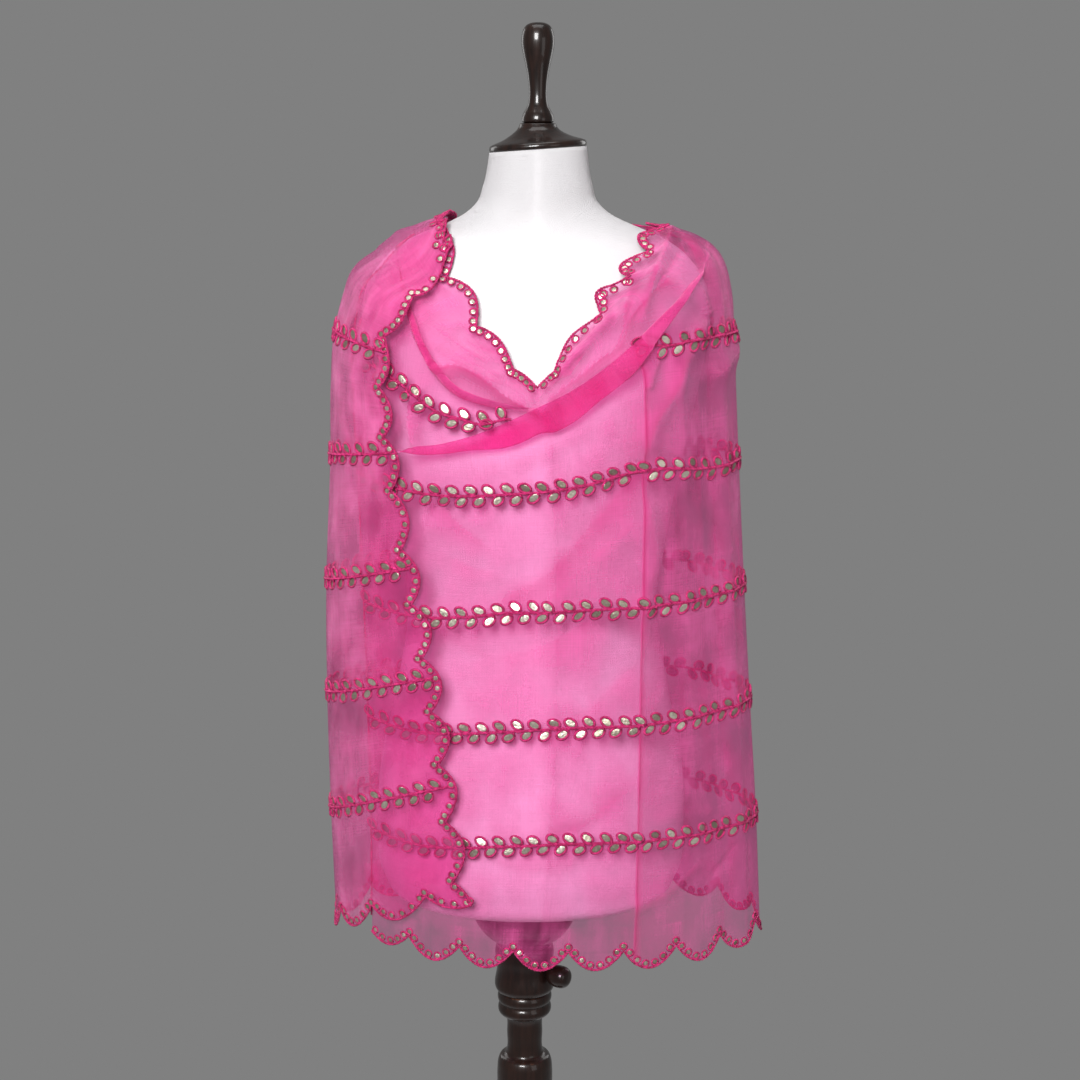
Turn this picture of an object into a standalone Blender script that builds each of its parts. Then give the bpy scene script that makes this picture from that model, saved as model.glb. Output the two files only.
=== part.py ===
"""A dupatta stole worn round a limbless dress form on a turned wooden stand.

Metres, +Z up. The front faces -Y and the viewer's right is +X. The origin is the centre of the
base's underside, on the axis of the post.

The stole is one long rectangle of sheer cloth, wound once round the form. A place on it has two
parameters: `turn`, the angle round the body in degrees (0 at the viewer's left, 90 at the front,
180 at the viewer's right, 270 at the back, and past 360 for the end that comes round again), and
`up`, the share of the cloth's width from the hem (0) to the neck edge (1).
"""

import math
from typing import NamedTuple

import bpy
import numpy as np

# Clearances between pieces
GAP = 0.0003
RUNNING_GAP = 0.0004

# Base and post
BASE_RADIUS = 0.180
BASE_RIM = 0.018
BASE_TOP = 0.045
POST_TOP = 0.6062
POST_BORE_FLOOR = 0.280
VASE_RADIUS = 0.0298
POST_NECK_RADIUS = 0.0190

# Collar that the clamp screw passes through
COLLAR_BOTTOM = POST_TOP + GAP
COLLAR_TOP = 0.6597
COLLAR_RADIUS = 0.0295

# Clamp screw and its knob, pointing to the front right
SCREW_HEIGHT = 0.632
SCREW_RADIUS = 0.0040
SCREW_HEADING = math.radians(-35.0)
KNOB_RADIUS = 0.0118
KNOB_START = 0.0340
KNOB_END = 0.0570

# Pole that slides in the post and carries the form
POLE_RADIUS = 0.0125
POLE_BOTTOM = 0.300
POLE_TOP = 0.7095
BORE_RADIUS = POLE_RADIUS + RUNNING_GAP

# Form: it leans a little to the viewer's right as it rises
FORM_BOTTOM = 0.7180
NECK_TOP = 1.4885
FORM_FOOT_X = 0.006
FORM_HEAD_X = 0.0145
FORM_SQUARENESS = 2.3
NECK_TILT = 0.068
TILT_START = 1.440
TILT_FADE = 0.018

# Boss under the form
BOSS_BOTTOM = COLLAR_TOP + GAP
BOSS_TOP = FORM_BOTTOM - GAP
BOSS_RADIUS = 0.0565

# Neck cap and finial
CAP_BOTTOM = NECK_TOP + GAP
CAP_TOP = 1.5138
FINIAL_BOTTOM = CAP_TOP + GAP
FINIAL_TOP = 1.6090

# Stole
CLOTH_X = 0.0135
CLOTH_WALL = 0.0016
CLOTH_CLEARANCE = 0.0014
CLOTH_SQUARENESS = 2.4
LOBE_PITCH = 0.0555
LOBE_SHARE = 0.026
LOBE_STEPS = 4
END_LOBES = 13
END_LOBE_TURN = 4.5
LAYER_LIFT = 0.009
SEAM_HALF = GAP / 2

# Facets
TURNED_SIDES = 28
SMALL_SIDES = 20
BASE_SIDES = 48
FORM_SIDES = 40
SHARP_ANGLE = math.radians(40.0)

# Steps of the numeric slopes and of the clearing of the form
NUDGE = 1e-4
TURN_STEP = 0.05
LEVEL_STEP = 0.0005
CLEARING_STEPS = 8
CLEARING_REACH = 0.02
HEM_STEP = 0.25


class Section(NamedTuple):
    """One level section of the form: its height, half width and depths from its centre."""

    z: float
    half_width: float
    front: float
    back: float


FORM_SECTIONS = (
    Section(0.718, 0.122, 0.086, 0.078),
    Section(0.726, 0.140, 0.097, 0.088),
    Section(0.746, 0.154, 0.105, 0.095),
    Section(0.800, 0.160, 0.108, 0.097),
    Section(0.870, 0.156, 0.104, 0.094),
    Section(0.950, 0.139, 0.094, 0.084),
    Section(1.030, 0.128, 0.086, 0.077),
    Section(1.120, 0.137, 0.094, 0.080),
    Section(1.220, 0.156, 0.104, 0.086),
    Section(1.290, 0.169, 0.096, 0.084),
    Section(1.330, 0.173, 0.084, 0.078),
    Section(1.360, 0.167, 0.072, 0.070),
    Section(1.380, 0.154, 0.065, 0.063),
    Section(1.396, 0.136, 0.060, 0.058),
    Section(1.407, 0.116, 0.058, 0.056),
    Section(1.415, 0.096, 0.057, 0.055),
    Section(1.424, 0.076, 0.056, 0.055),
    Section(1.436, 0.061, 0.055, 0.054),
    Section(1.455, 0.0535, 0.0530, 0.0525),
    Section(1.4885, 0.0475, 0.0475, 0.0475),
)


class Level(NamedTuple):
    """One section of the stole: its half widths and depths, and its heights all round."""

    up: float
    left: float
    right: float
    front: float
    back: float
    left_z: float
    right_z: float
    front_z: float
    back_z: float


LEVELS = (
    Level(0.000, 0.204, 0.232, 0.122, 0.092, 0.682, 0.682, 0.683, 0.684),
    Level(0.167, 0.207, 0.225, 0.119, 0.104, 0.814, 0.814, 0.817, 0.815),
    Level(0.333, 0.208, 0.216, 0.115, 0.103, 0.939, 0.939, 0.934, 0.940),
    Level(0.500, 0.206, 0.208, 0.112, 0.100, 1.058, 1.058, 1.052, 1.060),
    Level(0.667, 0.199, 0.200, 0.113, 0.100, 1.187, 1.187, 1.168, 1.180),
    Level(0.760, 0.197, 0.196, 0.115, 0.099, 1.258, 1.258, 1.210, 1.245),
    Level(0.833, 0.192, 0.193, 0.115, 0.095, 1.311, 1.312, 1.238, 1.298),
    Level(0.875, 0.183, 0.190, 0.114, 0.089, 1.346, 1.352, 1.247, 1.334),
    Level(0.905, 0.174, 0.182, 0.113, 0.083, 1.369, 1.381, 1.253, 1.356),
    Level(0.935, 0.151, 0.166, 0.112, 0.077, 1.387, 1.399, 1.259, 1.374),
    Level(0.965, 0.117, 0.140, 0.110, 0.072, 1.402, 1.410, 1.264, 1.390),
    Level(1.000, 0.079, 0.104, 0.106, 0.067, 1.414, 1.415, 1.268, 1.404),
)


class Edge(NamedTuple):
    """Where the start, the pressed crease and the end of the stole lie, as a turn, at a level."""

    up: float
    start: float
    crease: float
    end: float


EDGES = (
    Edge(0.00, 36.5, 110.5, 436.0),
    Edge(0.17, 39.0, 112.0, 432.0),
    Edge(0.33, 39.0, 113.5, 428.0),
    Edge(0.50, 37.0, 115.0, 421.0),
    Edge(0.67, 31.0, 116.5, 413.0),
    Edge(0.83, 24.0, 117.5, 409.0),
    Edge(0.92, 14.0, 118.0, 406.0),
    Edge(0.96, 8.0, 118.5, 394.0),
    Edge(1.00, 4.0, 119.0, 374.0),
)


class Fold(NamedTuple):
    """A soft ridge (or trough, below 0) seen from the front, along a bowed line from x0, z0."""

    x0: float
    z0: float
    x1: float
    z1: float
    x2: float
    z2: float
    width: float
    height: float


FOLD_STEPS = 17
FOLD_FADE = 0.03

# Cowl swags, shoulder folds and the broad dents of the front, from the neckline down
FOLDS = (
    Fold(-0.106, 1.336, -0.088, 1.268, -0.006, 1.260, 0.008, 0.0050),
    Fold(-0.118, 1.304, -0.074, 1.246, 0.004, 1.251, 0.008, 0.0045),
    Fold(-0.060, 1.206, 0.020, 1.232, 0.104, 1.316, 0.012, 0.0105),
    Fold(0.104, 1.316, 0.135, 1.338, 0.172, 1.368, 0.010, 0.0070),
    Fold(0.100, 1.340, 0.120, 1.366, 0.148, 1.400, 0.009, 0.0065),
    Fold(0.090, 1.330, 0.112, 1.372, 0.136, 1.404, 0.007, -0.0030),
    Fold(0.176, 1.276, 0.190, 1.290, 0.198, 1.305, 0.010, 0.0045),
    Fold(-0.090, 1.149, -0.074, 1.132, -0.055, 1.119, 0.009, -0.0030),
    Fold(-0.078, 1.099, -0.064, 1.092, -0.046, 1.088, 0.008, -0.0030),
    Fold(0.092, 1.180, 0.036, 1.120, -0.030, 1.062, 0.024, -0.0060),
)


class Wave(NamedTuple):
    """An upright drape wave: its turn, its half width in turn, its height, and how it grows."""

    turn: float
    width: float
    height: float
    hem_share: float
    top_share: float


WAVES = (
    Wave(145.0, 9.0, -0.0060, 1.0, 0.3),
    Wave(172.0, 8.0, 0.0045, 1.0, 0.6),
    Wave(205.0, 10.0, -0.0080, 0.7, 1.0),
    Wave(228.0, 8.0, 0.0070, 0.8, 0.7),
    Wave(252.0, 9.0, -0.0050, 1.0, 0.5),
    Wave(274.0, 7.0, 0.0065, 1.0, 0.4),
    Wave(298.0, 9.0, -0.0060, 1.0, 0.8),
    Wave(320.0, 7.0, 0.0070, 0.9, 1.0),
    Wave(342.0, 8.0, -0.0040, 1.0, 0.5),
)

# Pressed crease: its height, its half width in turn, and the level where it has faded out
CREASE_HEIGHT = 0.0060
CREASE_WIDTH = 6.0
CREASE_TOP = 0.84
CREASE_FADE = 0.10
CREASE_HOLD = 230.0

# Neckline: how sharply it dips to the V on each side, and the levels over which it becomes one
LEFT_VEE = 1.25
RIGHT_VEE = 1.90
VEE_START = 0.68
VEE_SPAN = 0.30

# The back's neck edge slips off the viewer's right shoulder
BACK_SLIP = 0.034
SLIP_TURN = 212.0
SLIP_WIDTH = 22.0
SLIP_START = 0.90
SLIP_SPAN = 0.10

# The left front hangs flatter and its hem rides up a little
LEFT_FLATTEN = 0.25
FLATTEN_TOP = 0.7
HEM_RISE = 0.010
HEM_RISE_TURN = 38.0
HEM_RISE_WIDTH = 18.0

# The second layer lifts off the first as it comes round, less so near the neck
LIFT_TURN = 318.0
LIFT_SPAN = 34.0
LIFT_AT_NECK = 0.005
LIFT_NECK_START = 0.88
LIFT_NECK_SPAN = 0.10

# The end panel rises toward its end edge, but for its gathered top
PANEL_RISE = 0.058
PANEL_RISE_TURN = 352.0
PANEL_RISE_SPAN = 75.0
PANEL_RISE_TOP = 0.12

# Rows of the cloth's grid, as shares of its width. The end panel has the upper ones too.
PANEL_ROWS = END_LOBES * LOBE_STEPS
CLOTH_ROWS = (0.045, 0.10, 0.167, 0.25, 0.333, 0.42, 0.50, 0.58, 0.64, 0.69, 0.735, 0.775,
              *(row / PANEL_ROWS for row in (42, 44, 46, 47, 48, 49, 50, 51)))
SEAM_LOBES = {"right": 10.5, "back": 15.5, "left": 17.75}
PANEL_COLUMNS = 12
TOP_LOBE = 0.65
GATHERED_LOBE = 0.35


def clear_scene():
    """Remove what a fresh scene holds."""
    for item in list(bpy.data.objects):
        bpy.data.objects.remove(item, do_unlink=True)


def finish(name, colour, roughness, metallic=0.0):
    """Make a plain material from its colour, roughness and metallic value."""
    material = bpy.data.materials.new(name)
    material.use_nodes = True
    shader = material.node_tree.nodes["Principled BSDF"]
    shader.inputs["Base Color"].default_value = (*colour, 1.0)
    shader.inputs["Roughness"].default_value = roughness
    shader.inputs["Metallic"].default_value = metallic
    return material


def add_object(name, points, faces, material):
    """Put a mesh in the scene as one named, smooth-shaded object."""
    mesh = bpy.data.meshes.new(name)
    mesh.from_pydata([tuple(map(float, point)) for point in points], [], faces)
    mesh.materials.append(material)
    mesh.shade_smooth()
    mesh.set_sharp_from_angle(angle=SHARP_ANGLE)
    item = bpy.data.objects.new(name, mesh)
    bpy.context.scene.collection.objects.link(item)
    return item


def turned(name, profile, material, sides=TURNED_SIDES):
    """Turn a profile of (radius, z) points, listed up the outside, into one closed body.

    A profile that starts and ends on the axis gets a centre point there. One that doesn't is
    joined to itself, which leaves a hole along the axis.
    """
    angles = np.arange(sides) * (2.0 * math.pi / sides)
    points = []
    rings = []
    for radius, z in profile:
        if radius == 0.0:
            rings.append([len(points)] * sides)
            points.append((0.0, 0.0, z))
            continue
        rings.append(list(range(len(points), len(points) + sides)))
        points.extend((radius * math.cos(a), radius * math.sin(a), z) for a in angles)
    closed = profile[0][0] > 0.0
    pairs = list(zip(rings, rings[1:]))
    if closed:
        pairs.append((rings[-1], rings[0]))
    faces = []
    for low, high in pairs:
        for k in range(sides):
            n = (k + 1) % sides
            corners = (low[k], low[n], high[n], high[k])
            faces.append(tuple(dict.fromkeys(corners)))
    return add_object(name, points, faces, material)


def arc_profile(radius, z_low, z_high, steps, radius_low=0.0, radius_high=0.0):
    """Profile points of a bulge between two heights, `radius` wide in the middle."""
    points = []
    for k in range(steps + 1):
        share = k / steps
        rest = radius_low + (radius_high - radius_low) * share
        points.append((rest + (radius - rest) * math.sin(math.pi * share) ** 0.6,
                       z_low + (z_high - z_low) * (1.0 - math.cos(math.pi * share)) / 2.0))
    return points


def smooth_rows(rows, at):
    """Read every column of a table at the given places of its first column, as smooth curves."""
    table = np.array(rows)
    places = table[:, 0]
    values = table[:, 1:]
    slopes = np.gradient(values, places, axis=0)
    index = np.clip(np.searchsorted(places, at) - 1, 0, len(places) - 2)
    span = places[index + 1] - places[index]
    share = ((at - places[index]) / span)[..., None]
    span = span[..., None]
    start = values[index]
    stop = values[index + 1]
    square = share ** 2
    cube = share ** 3
    read = ((2 * cube - 3 * square + 1) * start + (3 * square - 2 * cube) * stop
            + span * ((cube - 2 * square + share) * slopes[index]
                      + (cube - square) * slopes[index + 1]))
    return np.moveaxis(read, -1, 0)


def smooth_step(value):
    """Ease from 0 to 1 as value goes from 0 to 1."""
    share = np.clip(value, 0.0, 1.0)
    return share * share * (3.0 - 2.0 * share)


def form_centre(z):
    """How far to the viewer's right the leaning form's centre is at a height."""
    share = (z - FORM_BOTTOM) / (NECK_TOP - FORM_BOTTOM)
    return FORM_FOOT_X + (FORM_HEAD_X - FORM_FOOT_X) * share


def form_reach(points):
    """1 on the form's surface, less inside it and more outside, for points of any shape."""
    z = np.clip(points[..., 2], FORM_BOTTOM, NECK_TOP)
    half_width, front, back = smooth_rows(FORM_SECTIONS, z)
    depth = np.where(points[..., 1] < 0.0, front, back)
    across = np.abs(points[..., 0] - form_centre(z)) / half_width
    along = np.abs(points[..., 1]) / depth
    return (across ** FORM_SQUARENESS + along ** FORM_SQUARENESS) ** (1.0 / FORM_SQUARENESS)


def clear_of_form(points, clearance):
    """Move points that are too near the form straight out from it, to the clearance."""
    for _ in range(CLEARING_STEPS):
        reach = form_reach(points)
        slope = np.stack([(form_reach(points + step) - form_reach(points - step)) / (2 * NUDGE)
                          for step in NUDGE * np.eye(3)], axis=-1)
        size = np.linalg.norm(slope, axis=-1)
        distance = (reach - 1.0) / size
        short = np.clip(clearance - distance, 0.0, CLEARING_REACH)
        points = points + slope * (short / size)[..., None]
    return points


def bare_point(turn, up):
    """Section curve of the stole before its folds: a squared oval that dips to a V in front."""
    left, right, front, back, left_z, right_z, front_z, back_z = smooth_rows(LEVELS, up)
    angle = np.radians(turn)
    cosine = np.cos(angle)
    sine = np.sin(angle)
    power = 2.0 / CLOTH_SQUARENESS
    on_left = cosine > 0.0
    half_width = np.where(on_left, left, right)
    side_z = np.where(on_left, left_z, right_z)
    half_depth = np.where(sine > 0.0, front, back)
    slip = BACK_SLIP * np.exp(-((turn - SLIP_TURN) / SLIP_WIDTH) ** 2)
    half_width = half_width + slip * smooth_step((up - SLIP_START) / SLIP_SPAN)
    flatten = LEFT_FLATTEN * np.clip(cosine, 0.0, 1.0) * (1.0 - smooth_step(up / FLATTEN_TOP))
    half_depth = half_depth * np.where(sine > 0.0, 1.0 - flatten, 1.0)
    x = CLOTH_X - half_width * np.sign(cosine) * np.abs(cosine) ** power
    y = -half_depth * np.sign(sine) * np.abs(sine) ** power
    round_share = sine ** 2
    folded = np.abs(np.mod(turn, 360.0) - 90.0)
    vee_share = np.clip(1.0 - folded / 90.0, 0.0, 1.0) ** np.where(on_left, LEFT_VEE, RIGHT_VEE)
    pointed = smooth_step((up - VEE_START) / VEE_SPAN)
    front_share = round_share + (vee_share - round_share) * pointed
    z = np.where(sine > 0.0, side_z + (front_z - side_z) * front_share,
                 side_z + (back_z - side_z) * round_share)
    z = z + HEM_RISE * np.exp(-((turn - HEM_RISE_TURN) / HEM_RISE_WIDTH) ** 2) * (1.0 - up) ** 4
    return np.stack([x, y, z], axis=-1)


def outward(point_at, turn, up):
    """Unit normals of a surface that point_at gives for turn and up."""
    along = point_at(turn + TURN_STEP, up) - point_at(turn - TURN_STEP, up)
    across = point_at(turn, up + LEVEL_STEP) - point_at(turn, up - LEVEL_STEP)
    normal = np.cross(along, across)
    return normal / np.linalg.norm(normal, axis=-1, keepdims=True)


def fold_height(points):
    """Height of the front's folds at points, from their distance to each fold's bowed line."""
    x = points[..., 0] - CLOTH_X
    z = points[..., 2]
    ridge = np.zeros_like(x)
    dent = np.zeros_like(x)
    share = np.linspace(0.0, 1.0, FOLD_STEPS)
    for fold in FOLDS:
        line_x = ((1 - share) ** 2 * fold.x0 + 2 * share * (1 - share) * fold.x1
                  + share ** 2 * fold.x2)
        line_z = ((1 - share) ** 2 * fold.z0 + 2 * share * (1 - share) * fold.z1
                  + share ** 2 * fold.z2)
        near = np.min((x[..., None] - line_x) ** 2 + (z[..., None] - line_z) ** 2, axis=-1)
        height = fold.height * np.exp(-near / fold.width ** 2)
        ridge = np.maximum(ridge, height)
        dent = np.minimum(dent, height)
    return (ridge + dent) * smooth_step(-points[..., 1] / FOLD_FADE)


def wave_height(turn, up):
    """Height of the upright drape waves and of the pressed crease."""
    height = np.zeros_like(turn)
    for wave in WAVES:
        grow = wave.hem_share + (wave.top_share - wave.hem_share) * up
        height = height + wave.height * grow * np.exp(-((turn - wave.turn) / wave.width) ** 2)
    _, crease, _ = smooth_rows(EDGES, up)
    fade = smooth_step((CREASE_TOP - up) / CREASE_FADE)
    return height + CREASE_HEIGHT * fade * np.exp(-np.abs(turn - crease) / CREASE_WIDTH)


def cloth_point(turn, up):
    """Outer surface of the stole, with folds, waves, the second layer's lift and the seat."""
    points = bare_point(turn, up)
    normal = outward(bare_point, turn, up)
    first_pass = turn < 270.0
    height = wave_height(turn, up) + np.where(first_pass, fold_height(points), 0.0)
    thin = (LAYER_LIFT - LIFT_AT_NECK) * smooth_step((up - LIFT_NECK_START) / LIFT_NECK_SPAN)
    lift = (LAYER_LIFT - thin) * smooth_step((turn - LIFT_TURN) / LIFT_SPAN)
    points = points + normal * (height + lift)[..., None]
    rise = PANEL_RISE * np.clip((turn - PANEL_RISE_TURN) / PANEL_RISE_SPAN, 0.0, 1.0) ** 1.4
    points[..., 2] += rise * (1.0 - 0.45 * up) * smooth_step((1.0 - up) / PANEL_RISE_TOP)
    clearance = CLOTH_WALL + CLOTH_CLEARANCE + lift
    return clear_of_form(points, clearance)


def hem_turns():
    """Turn of every place along the hem, by its length from the start edge."""
    start = EDGES[0].start
    turns = np.arange(start, EDGES[0].end + HEM_STEP, HEM_STEP)
    points = bare_point(turns, np.zeros_like(turns))
    lengths = np.linalg.norm(np.diff(points, axis=0), axis=1)
    return turns, np.concatenate([[0.0], np.cumsum(lengths)])


def lobe(phase):
    """Share of a scallop at a count of scallops along an edge: 0 at a notch, 1 at a crest."""
    return np.abs(np.sin(np.pi * phase)) ** 0.8


def lobe_columns(first, last):
    """Counts of scallops at which a stretch has its columns, ends included."""
    inner = np.arange(math.floor(first * LOBE_STEPS) + 1, math.ceil(last * LOBE_STEPS))
    return np.concatenate([[first], inner / LOBE_STEPS, [last]])


def scalloped_rows(phase, top_lobe):
    """Level of every row at every column: the first and last rows follow the scallops."""
    drop = LOBE_SHARE * (1.0 - lobe(phase))
    inner = np.repeat(np.array(CLOTH_ROWS)[:, None], len(phase), axis=1)
    return np.vstack([drop, inner, 1.0 - drop * top_lobe])


def stretch_grid(first, last, top_lobe=TOP_LOBE):
    """Turn and level of each grid point of a stretch between two counts of scallops."""
    phase = lobe_columns(first, last)
    turns, lengths = hem_turns()
    hem_turn = np.interp(phase * LOBE_PITCH, lengths, turns)
    up = scalloped_rows(phase, top_lobe)
    start, crease, _ = smooth_rows(EDGES, up)
    start_hem = EDGES[0].start
    crease_hem = EDGES[0].crease
    share = (hem_turn - start_hem) / (crease_hem - start_hem)
    before = start + (crease - start) * share
    rest = np.clip((CREASE_HOLD - hem_turn) / (CREASE_HOLD - crease_hem), 0.0, 1.0)
    after = hem_turn + (crease - crease_hem) * rest
    return np.where(hem_turn <= crease_hem, before, after), up


def seam_lobe(name):
    """Count of scallops at a seam. The front's seam is the crease, so its count is measured."""
    turns, lengths = hem_turns()
    if name == "front":
        return float(np.interp(EDGES[0].crease, turns, lengths)) / LOBE_PITCH
    return SEAM_LOBES[name]


def end_grid(first):
    """Turn and level of each grid point of the end panel, scalloped on three edges."""
    turns, lengths = hem_turns()
    steps = np.arange(PANEL_ROWS + 1) / PANEL_ROWS
    first_turn = float(np.interp(first * LOBE_PITCH, lengths, turns))
    across = np.linspace(0.0, 1.0, PANEL_COLUMNS + 1)
    last = lengths[-1] / LOBE_PITCH
    phase = first + (last - first) * across
    drop = LOBE_SHARE * (1.0 - lobe(phase))
    near_hem = np.clip(1.0 - steps[:, None] * PANEL_ROWS / LOBE_STEPS, 0.0, 1.0)
    up = steps[:, None] + drop * near_hem
    up[-1] = 1.0 - drop * GATHERED_LOBE
    _, _, end = smooth_rows(EDGES, up)
    notch = END_LOBE_TURN * (1.0 - lobe(steps * END_LOBES))[:, None]
    fade = 1.0 - (1.0 - GATHERED_LOBE) * smooth_step((up - SLIP_START) / SLIP_SPAN)
    edge = end - notch * fade * across ** 6
    return first_turn + (edge - first_turn) * across, up


def wall(name, turn, up, material):
    """Build a stretch of the stole as one closed wall over a grid of turns and levels."""
    outer = cloth_point(turn, up)
    normal = outward(cloth_point, turn, up)
    ends = ((0, 1), (-1, -2))
    for edge, inside in ends:
        toward = outer[:, inside] - outer[:, edge]
        toward = toward / np.linalg.norm(toward, axis=-1, keepdims=True)
        outer[:, edge] = outer[:, edge] + toward * SEAM_HALF
    inner = outer - normal * CLOTH_WALL
    rows, columns = turn.shape
    size = rows * columns
    points = np.concatenate([outer.reshape(size, 3), inner.reshape(size, 3)])
    faces = []
    for i in range(rows - 1):
        for j in range(columns - 1):
            a = i * columns + j
            b = a + 1
            c = b + columns
            d = a + columns
            faces.append((a, b, c, d))
            faces.append((a + size, d + size, c + size, b + size))
    bottom = list(range(columns))
    right = [i * columns + columns - 1 for i in range(1, rows)]
    top = [(rows - 1) * columns + j for j in range(columns - 2, -1, -1)]
    left = [i * columns for i in range(rows - 2, 0, -1)]
    rim = bottom + right + top + left
    for here, after in zip(rim, rim[1:] + rim[:1]):
        faces.append((after, here, here + size, after + size))
    return add_object(name, points, faces, material)


def build_stand(walnut, steel):
    """Base, post, collar, clamp screw and pole."""
    turned("base", [(0.0, 0.0), (BASE_RADIUS, 0.0), (BASE_RADIUS, BASE_RIM),
                    (BASE_RADIUS - 0.006, BASE_RIM + 0.007), (BASE_RADIUS - 0.030, 0.028),
                    (0.075, 0.033), (0.060, BASE_TOP), (0.0, BASE_TOP)], walnut, BASE_SIDES)
    foot = BASE_TOP + GAP
    turned("post", [(0.0, foot), (0.040, foot), (0.042, 0.054), (0.038, 0.064), (0.027, 0.076),
                    (0.022, 0.100), (0.0205, 0.145), (0.0225, 0.210), (0.0255, 0.290),
                    (0.0280, 0.380), (0.0292, 0.460), (VASE_RADIUS, 0.518), (0.0280, 0.529),
                    (POST_NECK_RADIUS + 0.003, 0.533), (POST_NECK_RADIUS, 0.538),
                    (POST_NECK_RADIUS, 0.5785), (0.0262, 0.5800), (0.0285, 0.5865),
                    (0.0262, 0.5930), (0.0262, 0.5950), (0.0290, 0.6005), (0.0266, POST_TOP),
                    (BORE_RADIUS, POST_TOP), (BORE_RADIUS, POST_BORE_FLOOR),
                    (0.0, POST_BORE_FLOOR)], walnut)
    collar = turned("collar", [(BORE_RADIUS, COLLAR_BOTTOM), (COLLAR_RADIUS - 0.001, COLLAR_BOTTOM),
                               (COLLAR_RADIUS, COLLAR_BOTTOM + 0.001),
                               (COLLAR_RADIUS, COLLAR_TOP - 0.001),
                               (COLLAR_RADIUS - 0.001, COLLAR_TOP), (BORE_RADIUS, COLLAR_TOP)],
                    walnut)
    hole = turned("screw_hole", [(0.0, 0.0), (SCREW_RADIUS + RUNNING_GAP, 0.0),
                                 (SCREW_RADIUS + RUNNING_GAP, 0.05), (0.0, 0.05)], steel,
                  SMALL_SIDES)
    lie_along_screw(hole)
    hole.hide_render = True
    hole.display_type = "WIRE"
    cut = collar.modifiers.new("screw hole", "BOOLEAN")
    cut.operation = "DIFFERENCE"
    cut.object = hole
    tip = POLE_RADIUS + GAP
    knob = [(0.0, tip), (SCREW_RADIUS, tip), (SCREW_RADIUS, KNOB_START - 0.0015)]
    knob += arc_profile(KNOB_RADIUS, KNOB_START - 0.0010, KNOB_END, 9, SCREW_RADIUS + 0.001, 0.0)
    lie_along_screw(turned("clamp_knob", knob, walnut, SMALL_SIDES))
    turned("pole", [(0.0, POLE_BOTTOM), (POLE_RADIUS, POLE_BOTTOM), (POLE_RADIUS, POLE_TOP),
                    (0.0, POLE_TOP)], steel)


def lie_along_screw(item):
    """Lay a piece that was turned about +Z along the clamp screw's axis."""
    item.location = (0.0, 0.0, SCREW_HEIGHT)
    item.rotation_euler = (0.0, math.pi / 2.0, SCREW_HEADING)


def build_form(linen, walnut):
    """Boss, padded torso with its neck, neck cap and finial."""
    turned("boss", [(0.0, POLE_TOP + GAP), (BORE_RADIUS, POLE_TOP + GAP),
                    (BORE_RADIUS, BOSS_BOTTOM), (0.0265, BOSS_BOTTOM), (0.0310, 0.6640),
                    (0.0420, 0.6730), (0.0510, 0.6850), (0.0555, 0.6980),
                    (BOSS_RADIUS, 0.7080), (BOSS_RADIUS, BOSS_TOP), (0.0, BOSS_TOP)], walnut)
    build_torso(linen)
    cap = [(0.0, CAP_BOTTOM), (0.0465, CAP_BOTTOM), (0.0478, 1.4905), (0.0478, 1.4930),
           (0.0390, 1.4970), (0.0280, 1.5020), (0.0200, 1.5070), (0.0160, 1.5115),
           (0.0155, CAP_TOP), (0.0, CAP_TOP)]
    tilt_to_neck(turned("neck_cap", cap, walnut))
    finial = [(0.0, FINIAL_BOTTOM), (0.0142, FINIAL_BOTTOM), (0.0152, 1.5180), (0.0140, 1.5225),
              (0.0098, 1.5300), (0.0084, 1.5420), (0.0095, 1.5550), (0.0122, 1.5680),
              (0.0150, 1.5790), (0.0162, 1.5885), (0.0155, 1.5970), (0.0125, 1.6040),
              (0.0070, 1.6080), (0.0, FINIAL_TOP)]
    item = turned("finial", finial, walnut, SMALL_SIDES)
    item.location.x = FORM_HEAD_X


def neck_slope(x, z):
    """Rise of the neck's cut top and of the cap's underside to the viewer's right."""
    from_neck = smooth_step((z - TILT_START) / (NECK_TOP - TILT_START))
    return NECK_TILT * (x - FORM_HEAD_X) * from_neck * smooth_step((CAP_TOP - z) / TILT_FADE)


def tilt_to_neck(item):
    """Move a cap that was turned on the origin's axis onto the neck's sloping top."""
    for vertex in item.data.vertices:
        vertex.co.x += FORM_HEAD_X
        vertex.co.z += float(neck_slope(vertex.co.x, vertex.co.z))


def build_torso(linen):
    """The torso is a stack of level superellipses with a flat bottom and neck top."""
    angles = np.arange(FORM_SIDES) * (2.0 * math.pi / FORM_SIDES)
    power = 2.0 / FORM_SQUARENESS
    points = [(FORM_FOOT_X, 0.0, FORM_BOTTOM)]
    for section in FORM_SECTIONS:
        for angle in angles:
            across = math.copysign(abs(math.cos(angle)) ** power, math.cos(angle))
            along = math.copysign(abs(math.sin(angle)) ** power, math.sin(angle))
            depth = section.back if along > 0.0 else section.front
            x = form_centre(section.z) + section.half_width * across
            points.append((x, depth * along, section.z + float(neck_slope(x, section.z))))
    top = len(points)
    points.append((FORM_HEAD_X, 0.0, NECK_TOP))
    faces = []
    for k in range(FORM_SIDES):
        n = (k + 1) % FORM_SIDES
        faces.append((0, 1 + n, 1 + k))
        last = 1 + (len(FORM_SECTIONS) - 1) * FORM_SIDES
        faces.append((top, last + k, last + n))
        for level in range(len(FORM_SECTIONS) - 1):
            low = 1 + level * FORM_SIDES
            high = low + FORM_SIDES
            faces.append((low + k, low + n, high + n, high + k))
    add_object("torso", points, faces, linen)


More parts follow.
